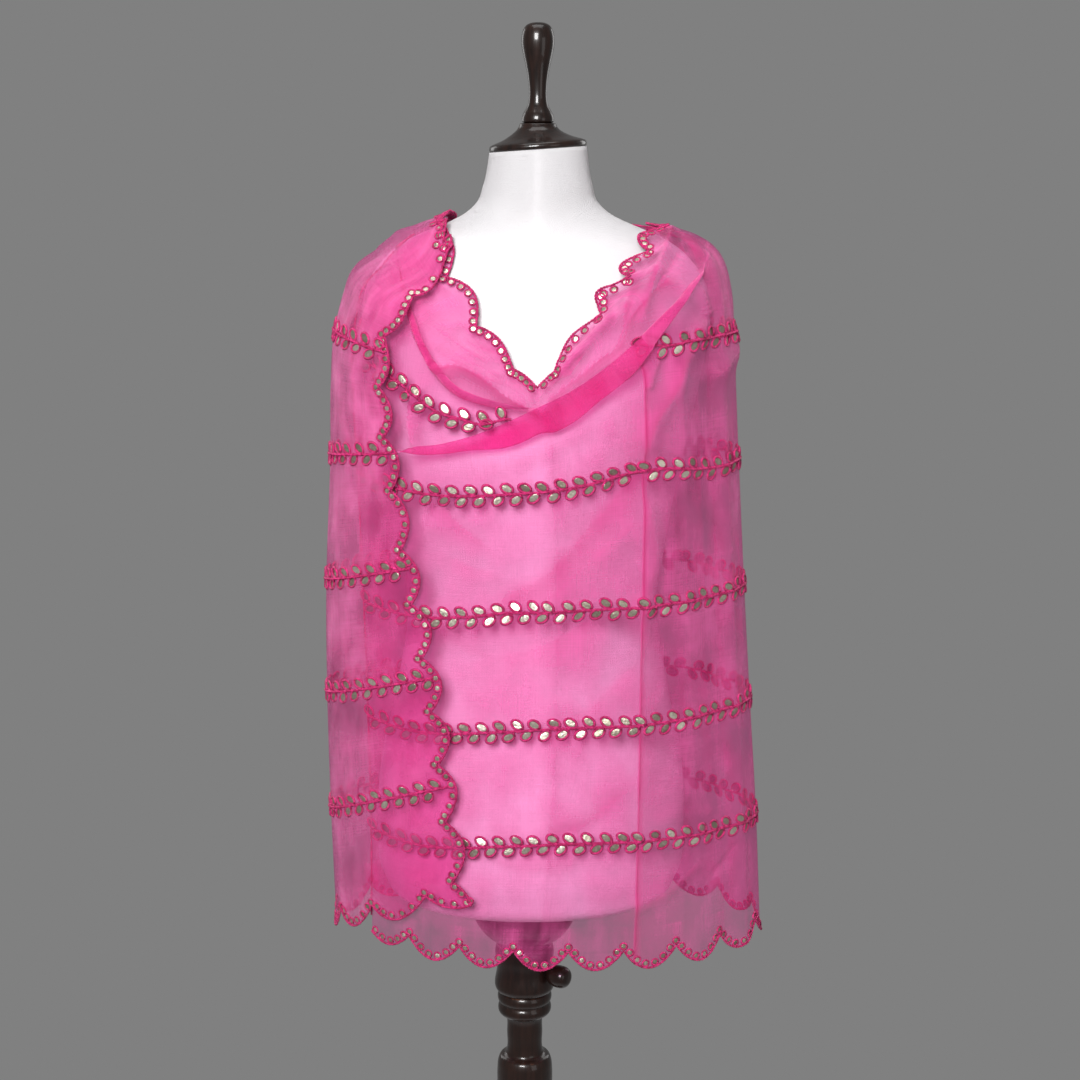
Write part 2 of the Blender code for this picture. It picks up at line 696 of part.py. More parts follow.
def build_stole(organza):
    """The five stretches of the stole that show."""
    front = seam_lobe("front")
    right = seam_lobe("right")
    back = seam_lobe("back")
    left = seam_lobe("left")
    wall("stole_front", *stretch_grid(0.0, front), organza)
    wall("stole_right", *stretch_grid(front, right), organza)
    wall("stole_back", *stretch_grid(right, back), organza)
    wall("stole_left", *stretch_grid(back, left, GATHERED_LOBE), organza)
    wall("stole_end", *end_grid(left), organza)


def main():
    """Build the whole part."""
    clear_scene()
    walnut = finish("walnut", (0.045, 0.016, 0.010), 0.25)
    steel = finish("steel", (0.55, 0.55, 0.56), 0.35, 1.0)
    linen = finish("linen", (0.82, 0.81, 0.80), 0.85)
    organza = finish("organza", (0.80, 0.06, 0.30), 0.45)
    build_stand(walnut, steel)
    build_form(linen, walnut)
    build_stole(organza)


main()
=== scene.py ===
"""Looks of the dupatta stole on its dress form stand: cloth, embroidery, form, stand and studio.

Metres, +Z up. The front faces -Y and the viewer's right is +X, as in the CAD. A place on the stole
is given by its `phase`, the count of scallops along the hem from the hidden start edge, and its
`level`, the share of the cloth's width from the hem (0) to the neck edge (1).
"""

import logging
import math
from dataclasses import dataclass, fields
from enum import Enum
from functools import cached_property
from typing import Callable, NamedTuple, Sequence

import bpy
import numpy as np
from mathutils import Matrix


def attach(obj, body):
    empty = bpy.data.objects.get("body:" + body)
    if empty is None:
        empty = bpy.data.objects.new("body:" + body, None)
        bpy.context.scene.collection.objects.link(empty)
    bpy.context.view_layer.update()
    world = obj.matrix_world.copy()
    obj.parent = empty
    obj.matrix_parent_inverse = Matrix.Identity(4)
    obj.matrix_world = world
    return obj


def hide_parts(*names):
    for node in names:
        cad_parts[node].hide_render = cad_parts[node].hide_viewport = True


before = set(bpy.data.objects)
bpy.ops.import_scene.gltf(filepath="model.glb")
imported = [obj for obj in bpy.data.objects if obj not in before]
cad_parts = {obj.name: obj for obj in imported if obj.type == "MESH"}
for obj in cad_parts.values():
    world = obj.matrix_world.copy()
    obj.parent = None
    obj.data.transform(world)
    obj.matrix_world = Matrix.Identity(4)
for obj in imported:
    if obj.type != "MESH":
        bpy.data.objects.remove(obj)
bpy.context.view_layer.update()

Array = np.ndarray
Colour = tuple[float, float, float]
log = logging.getLogger("stole")
logging.basicConfig(level=logging.INFO, format="%(message)s")

IMAGE_SIZE = 1080
SEED = 7
SLOPE_STEP_PHASE = 0.01
SLOPE_STEP_LEVEL = 0.0006
NUDGE = 1e-4


# Shader nodes

class Value:
    """A shader socket with one number. Arithmetic on it adds Math nodes."""

    def __init__(self, shader: "Shader", socket: bpy.types.NodeSocket) -> None:
        """Wrap a socket of a shader."""
        self.shader = shader
        self.socket = socket

    def math(self, operation: str, *operands: "Value | float") -> "Value":
        """Add a Math node.

        Args:
            operation: The Math node's operation.
            operands: Its inputs in order, sockets or numbers.

        Returns:
            The node's result.
        """
        inputs = {k: item for k, item in enumerate(operands)}
        return self.shader.value("ShaderNodeMath", {"operation": operation}, inputs)

    def __add__(self, other: "Value | float") -> "Value":
        """Sum."""
        return self.math("ADD", self, other)

    def __radd__(self, other: float) -> "Value":
        """Sum, reflected."""
        return self.math("ADD", other, self)

    def __sub__(self, other: "Value | float") -> "Value":
        """Difference."""
        return self.math("SUBTRACT", self, other)

    def __rsub__(self, other: float) -> "Value":
        """Difference, reflected."""
        return self.math("SUBTRACT", other, self)

    def __mul__(self, other: "Value | float") -> "Value":
        """Product."""
        return self.math("MULTIPLY", self, other)

    def __rmul__(self, other: float) -> "Value":
        """Product, reflected."""
        return self.math("MULTIPLY", other, self)

    def __pow__(self, other: "Value | float") -> "Value":
        """Power."""
        return self.math("POWER", self, other)

    def sine(self) -> "Value":
        """Sine, with the value in radians."""
        return self.math("SINE", self)

    def within(self, low: float, high: float) -> "Value":
        """The value held between two numbers."""
        return self.math("MINIMUM", self.math("MAXIMUM", self, low), high)


class Shader:
    """The nodes of one material."""

    def __init__(self, name: str) -> None:
        """Start an empty material.

        Args:
            name: Its name.
        """
        self.material = bpy.data.materials.new(name)
        self.material.use_nodes = True
        self.tree = self.material.node_tree
        self.tree.nodes.clear()

    def node(self, kind: str, settings: dict | None = None,
             inputs: dict | None = None) -> bpy.types.Node:
        """Add a node.

        Args:
            kind: The node's type.
            settings: Its properties, which are set first. A "stops" entry sets a colour ramp.
            inputs: Values or links of its sockets, by name or place.

        Returns:
            The new node.
        """
        made = self.tree.nodes.new(kind)
        for key, setting in (settings or {}).items():
            if key == "stops":
                ramp = made.color_ramp
                ramp.elements[0].position, ramp.elements[0].color = setting[0]
                ramp.elements[1].position, ramp.elements[1].color = setting[-1]
                for place, colour in setting[1:-1]:
                    ramp.elements.new(place).color = colour
            else:
                setattr(made, key, setting)
        for key, item in (inputs or {}).items():
            if isinstance(item, Value):
                item = item.socket
            if isinstance(item, bpy.types.NodeSocket):
                self.tree.links.new(item, made.inputs[key])
            else:
                made.inputs[key].default_value = item
        return made

    def value(self, kind: str, settings: dict | None = None, inputs: dict | None = None,
              output: int | str = 0) -> Value:
        """Add a node and wrap one of its outputs as a number."""
        return Value(self, self.node(kind, settings, inputs).outputs[output])

    def noise(self, place: bpy.types.NodeSocket, scale: float, detail: float = 2.0) -> Value:
        """Noise from 0 to 1 at a place."""
        return self.value("ShaderNodeTexNoise", None,
                          {"Vector": place, "Scale": scale, "Detail": detail})

    def drawn_noise(self, place: bpy.types.NodeSocket, scale: Sequence[float],
                    detail: float) -> Value:
        """Noise from 0 to 1 that is drawn out along the axes by a Mapping node."""
        drawn = self.node("ShaderNodeMapping", None, {"Vector": place, "Scale": scale})
        return self.noise(drawn.outputs[0], 1.0, detail)

    def attribute(self, name: str) -> Value:
        """An attribute of the mesh."""
        return self.value("ShaderNodeAttribute", {"attribute_name": name}, None, "Fac")

    def principled(self, inputs: dict) -> bpy.types.NodeSocket:
        """A Principled surface with some of its inputs set."""
        return self.node("ShaderNodeBsdfPrincipled", None, inputs).outputs[0]

    def object_place(self) -> bpy.types.NodeSocket:
        """The Object coordinates."""
        return self.node("ShaderNodeTexCoord").outputs["Object"]

    def cloth_place(self) -> tuple[bpy.types.NodeSocket, Value, Value]:
        """Read the UV map "flat", in metres on the flat piece.

        Returns:
            The map as a vector, and its two parts as numbers.
        """
        place = self.node("ShaderNodeUVMap", {"uv_map": "flat"}).outputs[0]
        parts = self.node("ShaderNodeSeparateXYZ", None, {0: place})
        return place, Value(self, parts.outputs[0]), Value(self, parts.outputs[1])

    def blend(self, share: "Value | float", low: Colour | bpy.types.NodeSocket,
              high: Colour | bpy.types.NodeSocket) -> bpy.types.NodeSocket:
        """Mix two colours.

        Args:
            share: How much of the second colour, from 0 to 1.
            low: The first colour, or a link to one.
            high: The second colour, or a link to one.

        Returns:
            The mixed colour.
        """
        low, high = (item if isinstance(item, bpy.types.NodeSocket) else (*item, 1.0)
                     for item in (low, high))
        made = self.node("ShaderNodeMix", {"data_type": "RGBA"}, {0: share, 6: low, 7: high})
        return made.outputs[2]

    def bump(self, height: Value, distance: float) -> bpy.types.NodeSocket:
        """Normal of a bumpy surface."""
        return self.node("ShaderNodeBump", None,
                         {"Height": height, "Distance": distance}).outputs[0]

    def finish(self, surface: bpy.types.NodeSocket) -> bpy.types.Material:
        """Put a shader on the output and return the material."""
        self.node("ShaderNodeOutputMaterial", None, {"Surface": surface})
        return self.material


def weave(shader: Shader, u: Value, v: Value, pitch: float) -> Value:
    """Height of a plain weave: the product of a sine along each way of threads, from -1 to 1."""
    turns = 2.0 * math.pi / pitch
    return (u * turns).sine() * (v * turns).sine()


# Finishes

@dataclass(frozen=True)
class Organza:
    """Sheer dyed silk: fine threads with gaps between them that the light passes through."""

    colour: Colour = (0.80, 0.026, 0.26)
    # Painted sheen: the brighter pink that the noise mottles in, partly the slubs' own tone.
    bright: Colour = (0.97, 0.150, 0.47)
    # Painted shade: the deep pink that the gather attribute lays along folds, waves and the
    # crease, and where the cloth is bunched.
    deep: Colour = (0.46, 0.004, 0.11)
    passed: Colour = (1.0, 0.60, 0.83)
    cover: float = 0.22
    # How much gather, that is bunching and painted shade, adds to the cover.
    gather_and_painted_shade_cover: float = 0.72
    pitch: float = 0.0007
    roughness: float = 0.38

    def material(self) -> bpy.types.Material:
        """Build sheer cloth: a mix of tinted gaps and dyed threads, by how far they cover, with
        painted shade along folds, waves and the crease and a painted sheen in its mottling.

        Returns:
            The material.
        """
        s = Shader("organza")
        place, u, v = s.cloth_place()
        warp = s.drawn_noise(place, (900.0, 14.0, 1.0), 1.0)
        weft = s.drawn_noise(place, (14.0, 900.0, 1.0), 1.0)
        cloud = s.drawn_noise(place, (9.0, 12.0, 1.0), 3.0)
        crumple = s.drawn_noise(place, (34.0, 20.0, 1.0), 3.0)
        # gather: how far the cloth is bunched, together with painted shade along folds, waves and
        # the crease.
        gather = s.attribute("gather")
        threads = weave(s, u, v, self.pitch)
        slub = (warp + weft) * 0.5
        # Painted sheen and shade of small crumples, with slub tone: noise mixes the pink toward
        # the brighter one.
        light = s.blend((cloud * 1.2 + crumple * 0.9 + slub * 0.7 - 0.95).within(0.0, 1.0),
                        self.colour, self.bright)
        # Painted shade: the colour deepens to the deep pink where gather is high.
        colour = s.blend(gather.within(0.0, 1.0), light, self.deep)
        cloth = s.principled({
            "Base Color": colour, "Roughness": self.roughness, "Sheen Weight": 0.55,
            "Sheen Roughness": 0.35, "Sheen Tint": (1.0, 0.55, 0.80, 1.0),
            "Specular IOR Level": 0.35,
            "Normal": s.bump(threads * 0.5 + slub * 2.0 + crumple * 9.0, 0.0003)})
        gaps = s.node("ShaderNodeBsdfTransparent", None, {"Color": (*self.passed, 1.0)})
        crowd = s.attribute("crowd")
        # Cover grows with gather, so the painted-shade lines and the bunched cloth are less sheer.
        once = (self.cover + (slub - 0.5) * 0.26 + (cloud - 0.5) * 0.62
                + (crumple - 0.5) * 0.62 + gather * self.gather_and_painted_shade_cover
                + threads * 0.03).within(0.06, 0.90)
        cover = (1.0 - (1.0 - once) ** crowd).within(0.05, 0.95)
        mixed = s.node("ShaderNodeMixShader", None,
                       {0: cover, 1: gaps.outputs[0], 2: cloth})
        return s.finish(mixed.outputs[0])


@dataclass(frozen=True)
class Thread:
    """Twisted embroidery thread, with the plies wound round its length."""

    # dark and light: partly the thread's own two tones, partly painted shade and painted highlight
    # of its twist.
    dark: Colour = (0.24, 0.004, 0.042)
    light: Colour = (0.92, 0.050, 0.28)
    ply: float = 0.0012

    def material(self) -> bpy.types.Material:
        """Build thread whose plies are a sine along and round it, darker in each groove as painted
        shade and lighter on each crest as a painted highlight.

        Returns:
            The material.
        """
        s = Shader("raspberry thread")
        _, u, v = s.cloth_place()
        turns = 2.0 * math.pi
        plies = (u * (turns / self.ply) + v * turns).sine()
        # The plies' sine paints shade into each groove of the twist and a highlight onto each
        # crest.
        colour = s.blend((plies * 0.45 + 0.45 + (s.noise(s.object_place(), 260.0) - 0.5) * 1.6)
                         .within(0.0, 1.0), self.dark, self.light)
        shine = s.principled({
            "Base Color": colour, "Roughness": 0.45, "Specular IOR Level": 0.35,
            "Normal": s.bump(plies, 0.0003)})
        return s.finish(shine)


@dataclass(frozen=True)
class Mirror:
    """Small glass mirrors, a little cloudy and warm."""

    clear: Colour = (0.62, 0.58, 0.50)
    dull: Colour = (0.30, 0.26, 0.20)

    def material(self) -> bpy.types.Material:
        """Build cloudy metal whose tone differs from one mirror to the next.

        Returns:
            The material.
        """
        s = Shader("mirror")
        place, _, _ = s.cloth_place()
        each = s.drawn_noise(place, (1.37, 0.0, 1.0), 0.0)
        cloud = s.noise(s.object_place(), 520.0, 3.0)
        share = ((each - 0.5) * 2.6 + cloud * 1.6 - 0.45).within(0.0, 1.0)
        glass = s.principled({
            "Base Color": s.blend(share, self.dull, self.clear), "Metallic": 0.8,
            "Roughness": 0.24 + cloud * 0.20, "Normal": s.bump(cloud, 0.0005)})
        return s.finish(glass)


@dataclass(frozen=True)
class Walnut:
    """Near-black stained walnut under lacquer, rubbed through to the wood on proud edges."""

    dark: Colour = (0.0060, 0.0036, 0.0030)
    mid: Colour = (0.020, 0.0080, 0.0055)
    worn: Colour = (0.13, 0.046, 0.018)

    def material(self) -> bpy.types.Material:
        """Build lacquered wood: dark grain, and bare wood where it is rubbed.

        Returns:
            The material.
        """
        s = Shader("walnut")
        place = s.object_place()
        fibre = s.drawn_noise(place, (260.0, 260.0, 9.0), 4.0)
        patch = s.drawn_noise(place, (22.0, 22.0, 9.0), 3.0)
        worn = s.attribute("worn")
        base = s.blend((fibre * 1.5 + patch * 1.2 - 0.95).within(0.0, 1.0), self.dark, self.mid)
        bare = ((worn * 0.8 + patch * 1.6 + fibre * 0.7 - 1.84) * 2.4).within(0.0, 1.0)
        colour = s.blend(bare, base, self.worn)
        wood = s.principled({
            "Base Color": colour, "Roughness": 0.26 + fibre * 0.14 + bare * 0.12,
            "Specular IOR Level": 0.20, "Coat Weight": 0.42, "Coat Roughness": 0.08,
            "Normal": s.bump(fibre * 0.6 + patch * 0.8, 0.0004)})
        return s.finish(wood)


@dataclass(frozen=True)
class Linen:
    """Off-white linen cover of the form, a plain weave with slubs."""

    light: Colour = (0.85, 0.835, 0.85)
    shade: Colour = (0.80, 0.785, 0.80)
    # Painted shade: the grey that the linen fades to up the neck.
    painted_neck_shade: Colour = (0.69, 0.67, 0.685)
    pitch: float = 0.0011

    def material(self) -> bpy.types.Material:
        """Build the linen: a weave with slubs, with painted shade that greys it up the neck.

        Returns:
            The material.
        """
        s = Shader("linen")
        place, u, v = s.cloth_place()
        warp = s.drawn_noise(place, (700.0, 25.0, 1.0), 2.0)
        weft = s.drawn_noise(place, (25.0, 700.0, 1.0), 2.0)
        cloud = s.noise(s.object_place(), 14.0, 3.0)
        # Painted shade: greyer from 1.20 m up the neck, with a little noise.
        painted_neck_shade = ((v - 1.20) * 8.0 + (cloud - 0.5) * 0.6).within(0.0, 1.0)
        threads = weave(s, u, v, self.pitch)
        mix = ((warp + weft) * 0.9 - 0.4 + threads * 0.12 + (cloud - 0.5) * 0.5).within(0.0, 1.0)
        cover = s.principled({
            "Base Color": s.blend(painted_neck_shade, s.blend(mix, self.shade, self.light), self.painted_neck_shade),
            "Roughness": 0.85,
            "Sheen Weight": 0.15,
            "Normal": s.bump(threads * 0.6 + warp + weft, 0.0004)})
        return s.finish(cover)


@dataclass(frozen=True)
class Steel:
    """Bright drawn steel with fine marks round it."""

    colour: Colour = (0.62, 0.62, 0.63)

    def material(self) -> bpy.types.Material:
        """Build the metal, with fine rings round its length.

        Returns:
            The material.
        """
        s = Shader("steel")
        marks = s.drawn_noise(s.object_place(), (40.0, 40.0, 2600.0), 2.0)
        metal = s.principled({
            "Base Color": s.blend(marks, self.colour, (0.50, 0.50, 0.52)), "Metallic": 1.0,
            "Roughness": 0.22 + marks * 0.16, "Normal": s.bump(marks, 0.0001)})
        return s.finish(metal)


@dataclass(frozen=True)
class PaleFloor:
    """Pale matt floor round the stand that fades out into the studio's grey."""

    colour: Colour = (0.60, 0.60, 0.61)
    clear_from: float = 0.34
    clear_to: float = 0.86

    def material(self) -> bpy.types.Material:
        """Build the floor, clear beyond a radius.

        Returns:
            The material.
        """
        s = Shader("pale floor")
        place = s.object_place()
        far = s.value("ShaderNodeVectorMath", {"operation": "LENGTH"}, {0: place}, "Value")
        fade = ((far - self.clear_from) * (1.0 / (self.clear_to - self.clear_from)))
        matt = s.principled({
            "Base Color": s.blend(s.noise(place, 30.0), self.colour, (0.56, 0.56, 0.57)),
            "Roughness": 0.8, "Alpha": 1.0 - fade.within(0.0, 1.0)})
        return s.finish(matt)


# Tables and curves

class Section(NamedTuple):
    """One level section of the form: its height, half width and depths from its centre."""

    z: float
    half_width: float
    front: float
    back: float


FORM_SECTIONS = (
    Section(0.718, 0.122, 0.086, 0.078),
    Section(0.726, 0.140, 0.097, 0.088),
    Section(0.746, 0.154, 0.105, 0.095),
    Section(0.800, 0.160, 0.108, 0.097),
    Section(0.870, 0.156, 0.104, 0.094),
    Section(0.950, 0.139, 0.094, 0.084),
    Section(1.030, 0.128, 0.086, 0.077),
    Section(1.120, 0.137, 0.094, 0.080),
    Section(1.220, 0.156, 0.104, 0.086),
    Section(1.290, 0.169, 0.096, 0.084),
    Section(1.330, 0.173, 0.084, 0.078),
    Section(1.360, 0.167, 0.072, 0.070),
    Section(1.380, 0.154, 0.065, 0.063),
    Section(1.396, 0.136, 0.060, 0.058),
    Section(1.407, 0.116, 0.058, 0.056),
    Section(1.415, 0.096, 0.057, 0.055),
    Section(1.424, 0.076, 0.056, 0.055),
    Section(1.436, 0.061, 0.055, 0.054),
    Section(1.455, 0.0535, 0.0530, 0.0525),
    Section(1.4885, 0.0475, 0.0475, 0.0475),
)


class Level(NamedTuple):
    """One section of the stole: its half widths and depths, and its heights all round."""

    up: float
    left: float
    right: float
    front: float
    back: float
    left_z: float
    right_z: float
    front_z: float
    back_z: float


LEVELS = (
    Level(0.000, 0.204, 0.232, 0.122, 0.092, 0.682, 0.682, 0.683, 0.684),
    Level(0.167, 0.207, 0.225, 0.119, 0.104, 0.814, 0.814, 0.817, 0.815),
    Level(0.333, 0.208, 0.216, 0.115, 0.103, 0.939, 0.939, 0.934, 0.940),
    Level(0.500, 0.206, 0.208, 0.112, 0.100, 1.058, 1.058, 1.052, 1.060),
    Level(0.667, 0.199, 0.200, 0.113, 0.100, 1.187, 1.187, 1.168, 1.180),
    Level(0.760, 0.197, 0.196, 0.115, 0.099, 1.258, 1.258, 1.210, 1.245),
    Level(0.833, 0.192, 0.193, 0.115, 0.095, 1.311, 1.312, 1.238, 1.298),
    Level(0.875, 0.183, 0.190, 0.114, 0.089, 1.346, 1.352, 1.247, 1.334),
    Level(0.905, 0.174, 0.182, 0.113, 0.083, 1.369, 1.381, 1.253, 1.356),
    Level(0.935, 0.151, 0.166, 0.112, 0.077, 1.387, 1.399, 1.259, 1.374),
    Level(0.965, 0.117, 0.140, 0.110, 0.072, 1.402, 1.410, 1.264, 1.390),
    Level(1.000, 0.079, 0.104, 0.106, 0.067, 1.414, 1.415, 1.268, 1.404),
)


class Edge(NamedTuple):
    """Where the start, the pressed crease and the end of the stole lie, as a turn, at a level."""

    up: float
    start: float
    crease: float
    end: float


EDGES = (
    Edge(0.00, 36.5, 110.5, 436.0),
    Edge(0.17, 39.0, 112.0, 432.0),
    Edge(0.33, 39.0, 113.5, 428.0),
    Edge(0.50, 37.0, 115.0, 421.0),
    Edge(0.67, 31.0, 116.5, 413.0),
    Edge(0.83, 24.0, 117.5, 409.0),
    Edge(0.92, 14.0, 118.0, 408.0),
    Edge(0.96, 8.0, 118.5, 400.0),
    Edge(1.00, 4.0, 119.0, 378.0),
)


class Fold(NamedTuple):
    """A soft ridge (or trough, below 0) seen from the front, along a smooth line of x, z.

    By `bunching_and_painted_shade` the cloth is bunched at its line and darkened with painted fold
    shade. That fades out to the left of the line's way where it is above 0, to the right where it
    is below 0, and stops sharply on the other side.
    """

    line: tuple[tuple[float, float], ...]
    width: float
    height: float
    bunching_and_painted_shade: float = 0.0


# The last number of a fold is its bunching and painted fold shade.
FOLDS = (
    # Swags left of the V, from the edge of the outer panel down to the V's foot.
    Fold(((-0.0994, 1.2930), (-0.0792, 1.2898), (-0.0558, 1.2802), (-0.0345, 1.2673),
          (-0.0142, 1.2587)), 0.0080, 0.0045, -0.85),
    Fold(((-0.1211, 1.3397), (-0.1129, 1.3164), (-0.0994, 1.2908), (-0.0815, 1.2694),
          (-0.0560, 1.2565), (-0.0282, 1.2501), (-0.0060, 1.2500)), 0.0070, 0.0030, -0.45),
    Fold(((-0.1186, 1.3691), (-0.1038, 1.3660), (-0.0891, 1.3586)), 0.0060, 0.0020, -0.30),
    Fold(((-0.1042, 1.3323), (-0.0916, 1.3270), (-0.0746, 1.3280)), 0.0050, -0.0022, -0.35),
    Fold(((-0.0662, 1.3100), (-0.0535, 1.3047), (-0.0408, 1.3015)), 0.0050, -0.0020, 0.25),
    Fold(((-0.1145, 1.3544), (-0.1063, 1.3355), (-0.1086, 1.3185)), 0.0060, 0.0026, 0.40),
    Fold(((-0.1050, 1.3120), (-0.0860, 1.3050), (-0.0640, 1.2930), (-0.0380, 1.2790)),
         0.0060, 0.0020, -0.25),
    Fold(((-0.1180, 1.3427), (-0.0853, 1.3143), (-0.0547, 1.2944)), 0.0045, 0.0018, 0.35),
    Fold(((-0.1120, 1.3250), (-0.0900, 1.3020), (-0.0620, 1.2830), (-0.0350, 1.2720)),
         0.0040, 0.0016, 0.40),
    # Folds from the V's foot up to the shoulder on the right.
    Fold(((0.0600, 1.2880), (0.0860, 1.3160), (0.1050, 1.3460), (0.1180, 1.3760)),
         0.0045, 0.0022, -0.45),
    Fold(((0.0104, 1.2587), (0.0296, 1.2737), (0.0487, 1.2866), (0.0699, 1.3036),
          (0.0804, 1.3249), (0.0834, 1.3439)), 0.0060, 0.0040, -0.60),
    Fold(((0.0359, 1.2780), (0.0572, 1.2951), (0.0762, 1.3100), (0.0887, 1.3355),
          (0.1034, 1.3523), (0.1201, 1.3670)), 0.0065, 0.0045, -0.75),
    Fold(((0.0327, 1.2823), (0.0412, 1.2951)), 0.0035, -0.0020, 0.45),
    Fold(((0.0742, 1.2972), (0.0890, 1.3079), (0.1037, 1.3206), (0.1185, 1.3323),
          (0.1372, 1.3534), (0.1538, 1.3712)), 0.0090, 0.0060, -0.55),
    Fold(((0.0960, 1.3320), (0.1080, 1.3620), (0.1290, 1.4050)), 0.0070, 0.0055, 0.45),
    Fold(((0.1000, 1.3230), (0.1150, 1.3600), (0.1400, 1.4000)), 0.0060, -0.0030, 0.25),
    Fold(((0.1496, 1.3754), (0.1583, 1.3565), (0.1651, 1.3355)), 0.0050, 0.0030, 0.50),
    Fold(((0.0240, 1.2900), (0.0430, 1.3080), (0.0660, 1.3330)), 0.0050, 0.0020, 0.25),
    # Shadows and wrinkles below the swags.
    Fold(((0.1590, 1.3185), (0.1445, 1.2951), (0.1301, 1.2609), (0.1133, 1.2350),
          (0.1050, 1.2111)), 0.0100, 0.0040, -0.60),
    Fold(((0.1168, 1.2994), (0.1110, 1.2850), (0.1065, 1.2694)), 0.0040, 0.0026, 0.50),
    Fold(((0.1362, 1.2780), (0.1330, 1.2650), (0.1302, 1.2522)), 0.0040, 0.0024, 0.45),
    Fold(((0.1760, 1.2760), (0.1890, 1.2900), (0.1980, 1.3050)), 0.0100, 0.0045, 0.30),
    Fold(((-0.1201, 1.2565), (-0.1214, 1.2393), (-0.1206, 1.2198)), 0.0060, 0.0030, 0.40),
    Fold(((-0.0900, 1.1490), (-0.0740, 1.1320), (-0.0550, 1.1190)), 0.0090, -0.0030, -0.30),
    Fold(((-0.0780, 1.0990), (-0.0640, 1.0920), (-0.0460, 1.0880)), 0.0080, -0.0030, -0.25),
    Fold(((0.0920, 1.1800), (0.0490, 1.1280), (0.0100, 1.0850), (-0.0300, 1.0620)),
         0.0220, -0.0060, 0.42),
    Fold(((0.0860, 1.1280), (0.0400, 1.0880), (0.0040, 1.0520)), 0.0120, 0.0022, -0.32),
    Fold(((0.0500, 1.0400), (0.0060, 1.0150), (-0.0500, 1.0010)), 0.0130, -0.0024, 0.26),
    Fold(((0.1080, 1.1500), (0.1130, 1.1000), (0.1060, 1.0500)), 0.0090, 0.0030, -0.35),
    Fold(((0.1230, 1.1500), (0.1330, 1.1150), (0.1300, 1.0700)), 0.0070, 0.0020, 0.25),
    Fold(((-0.0850, 1.0200), (-0.0400, 1.0000), (0.0100, 0.9960)), 0.0140, 0.0018, 0.22),
    Fold(((0.0900, 0.9900), (0.0500, 0.9500), (0.0100, 0.9300)), 0.0160, -0.0022, 0.26),
    Fold(((0.0800, 0.8600), (0.0500, 0.8350), (0.0200, 0.8220)), 0.0100, -0.0018, -0.30),
    Fold(((-0.0600, 0.8000), (-0.0200, 0.7900), (0.0300, 0.7920)), 0.0120, 0.0016, 0.22),
    Fold(((0.1000, 0.7480), (0.1300, 0.7620), (0.1560, 0.7840)), 0.0090, 0.0030, -0.45),
    Fold(((0.1120, 0.8300), (0.1400, 0.8400), (0.1700, 0.8360)), 0.0080, 0.0020, 0.20),
    Fold(((0.1840, 0.7700), (0.1960, 0.7780), (0.2060, 0.7900)), 0.0050, -0.0020, 0.35),
)


class Wave(NamedTuple):
    """An upright drape wave: its turn, its half width in turn, its height, and how it grows."""

    turn: float
    width: float
    height: float
    hem_share: float
    top_share: float

    def grown(self, up: Array) -> Array:
        """Share of its height at levels."""
        return self.hem_share + (self.top_share - self.hem_share) * up


WAVES = (
    Wave(145.0, 9.0, -0.0060, 1.0, 0.3),
    Wave(172.0, 8.0, 0.0045, 1.0, 0.6),
    Wave(205.0, 10.0, -0.0080, 0.7, 1.0),
    Wave(228.0, 8.0, 0.0070, 0.8, 0.7),
    Wave(252.0, 9.0, -0.0050, 1.0, 0.5),
    Wave(274.0, 7.0, 0.0065, 1.0, 0.4),
    Wave(298.0, 9.0, -0.0060, 1.0, 0.8),
    Wave(320.0, 7.0, 0.0070, 0.9, 1.0),
    Wave(342.0, 8.0, -0.0040, 1.0, 0.5),
    Wave(131.0, 3.2, 0.0020, 0.3, 1.3),
    Wave(157.0, 3.6, 0.0022, 1.0, 0.8),
    Wave(188.0, 4.0, -0.0026, 0.6, 1.2),
    Wave(216.0, 4.0, 0.0026, 0.4, 1.4),
    Wave(240.0, 3.6, 0.0024, 1.0, 0.6),
    Wave(263.0, 3.8, -0.0026, 0.9, 1.0),
    Wave(286.0, 4.0, 0.0026, 1.1, 0.7),
    Wave(309.0, 3.6, -0.0024, 0.8, 1.2),
    Wave(331.0, 3.4, 0.0022, 0.6, 1.5),
)


class Swell(NamedTuple):
    """A rise of the cloth that fades as a bell round a turn."""

    height: float
    turn: float
    width: float

    def at(self, turn: Array) -> Array:
        """Height at turns."""
        return self.height * bell(turn, self.turn, self.width)


class Ramp(NamedTuple):
    """A smooth rise from 0 at a value to 1 a span further on. The span may be below 0."""

    start: float
    span: float

    def at(self, value: Array) -> Array:
        """Share at values."""
        return smooth_step((value - self.start) / self.span)


class Press(NamedTuple):
    """A line pressed into the cloth across its width or round it, at a level, over some turns."""

    level: float
    turn_from: float
    turn_to: float
    height: float


PRESSES = (
    Press(0.112, 50.0, 110.0, 0.0016),
    Press(0.305, 48.0, 84.0, -0.0012),
    Press(0.560, 118.0, 140.0, 0.0016),
    Press(0.488, 130.0, 152.0, -0.0016),
    Press(0.316, 122.0, 150.0, 0.0016),
    Press(0.560, 196.0, 250.0, 0.0014),
    Press(0.316, 214.0, 300.0, -0.0014),
    Press(0.112, 190.0, 236.0, 0.0014),
)


class Pleat(NamedTuple):
    """One place of a swag's line, seen from the front, and its fold's overlap and stand-out."""

    x: float
    z: float
    overlap: float
    proud: float


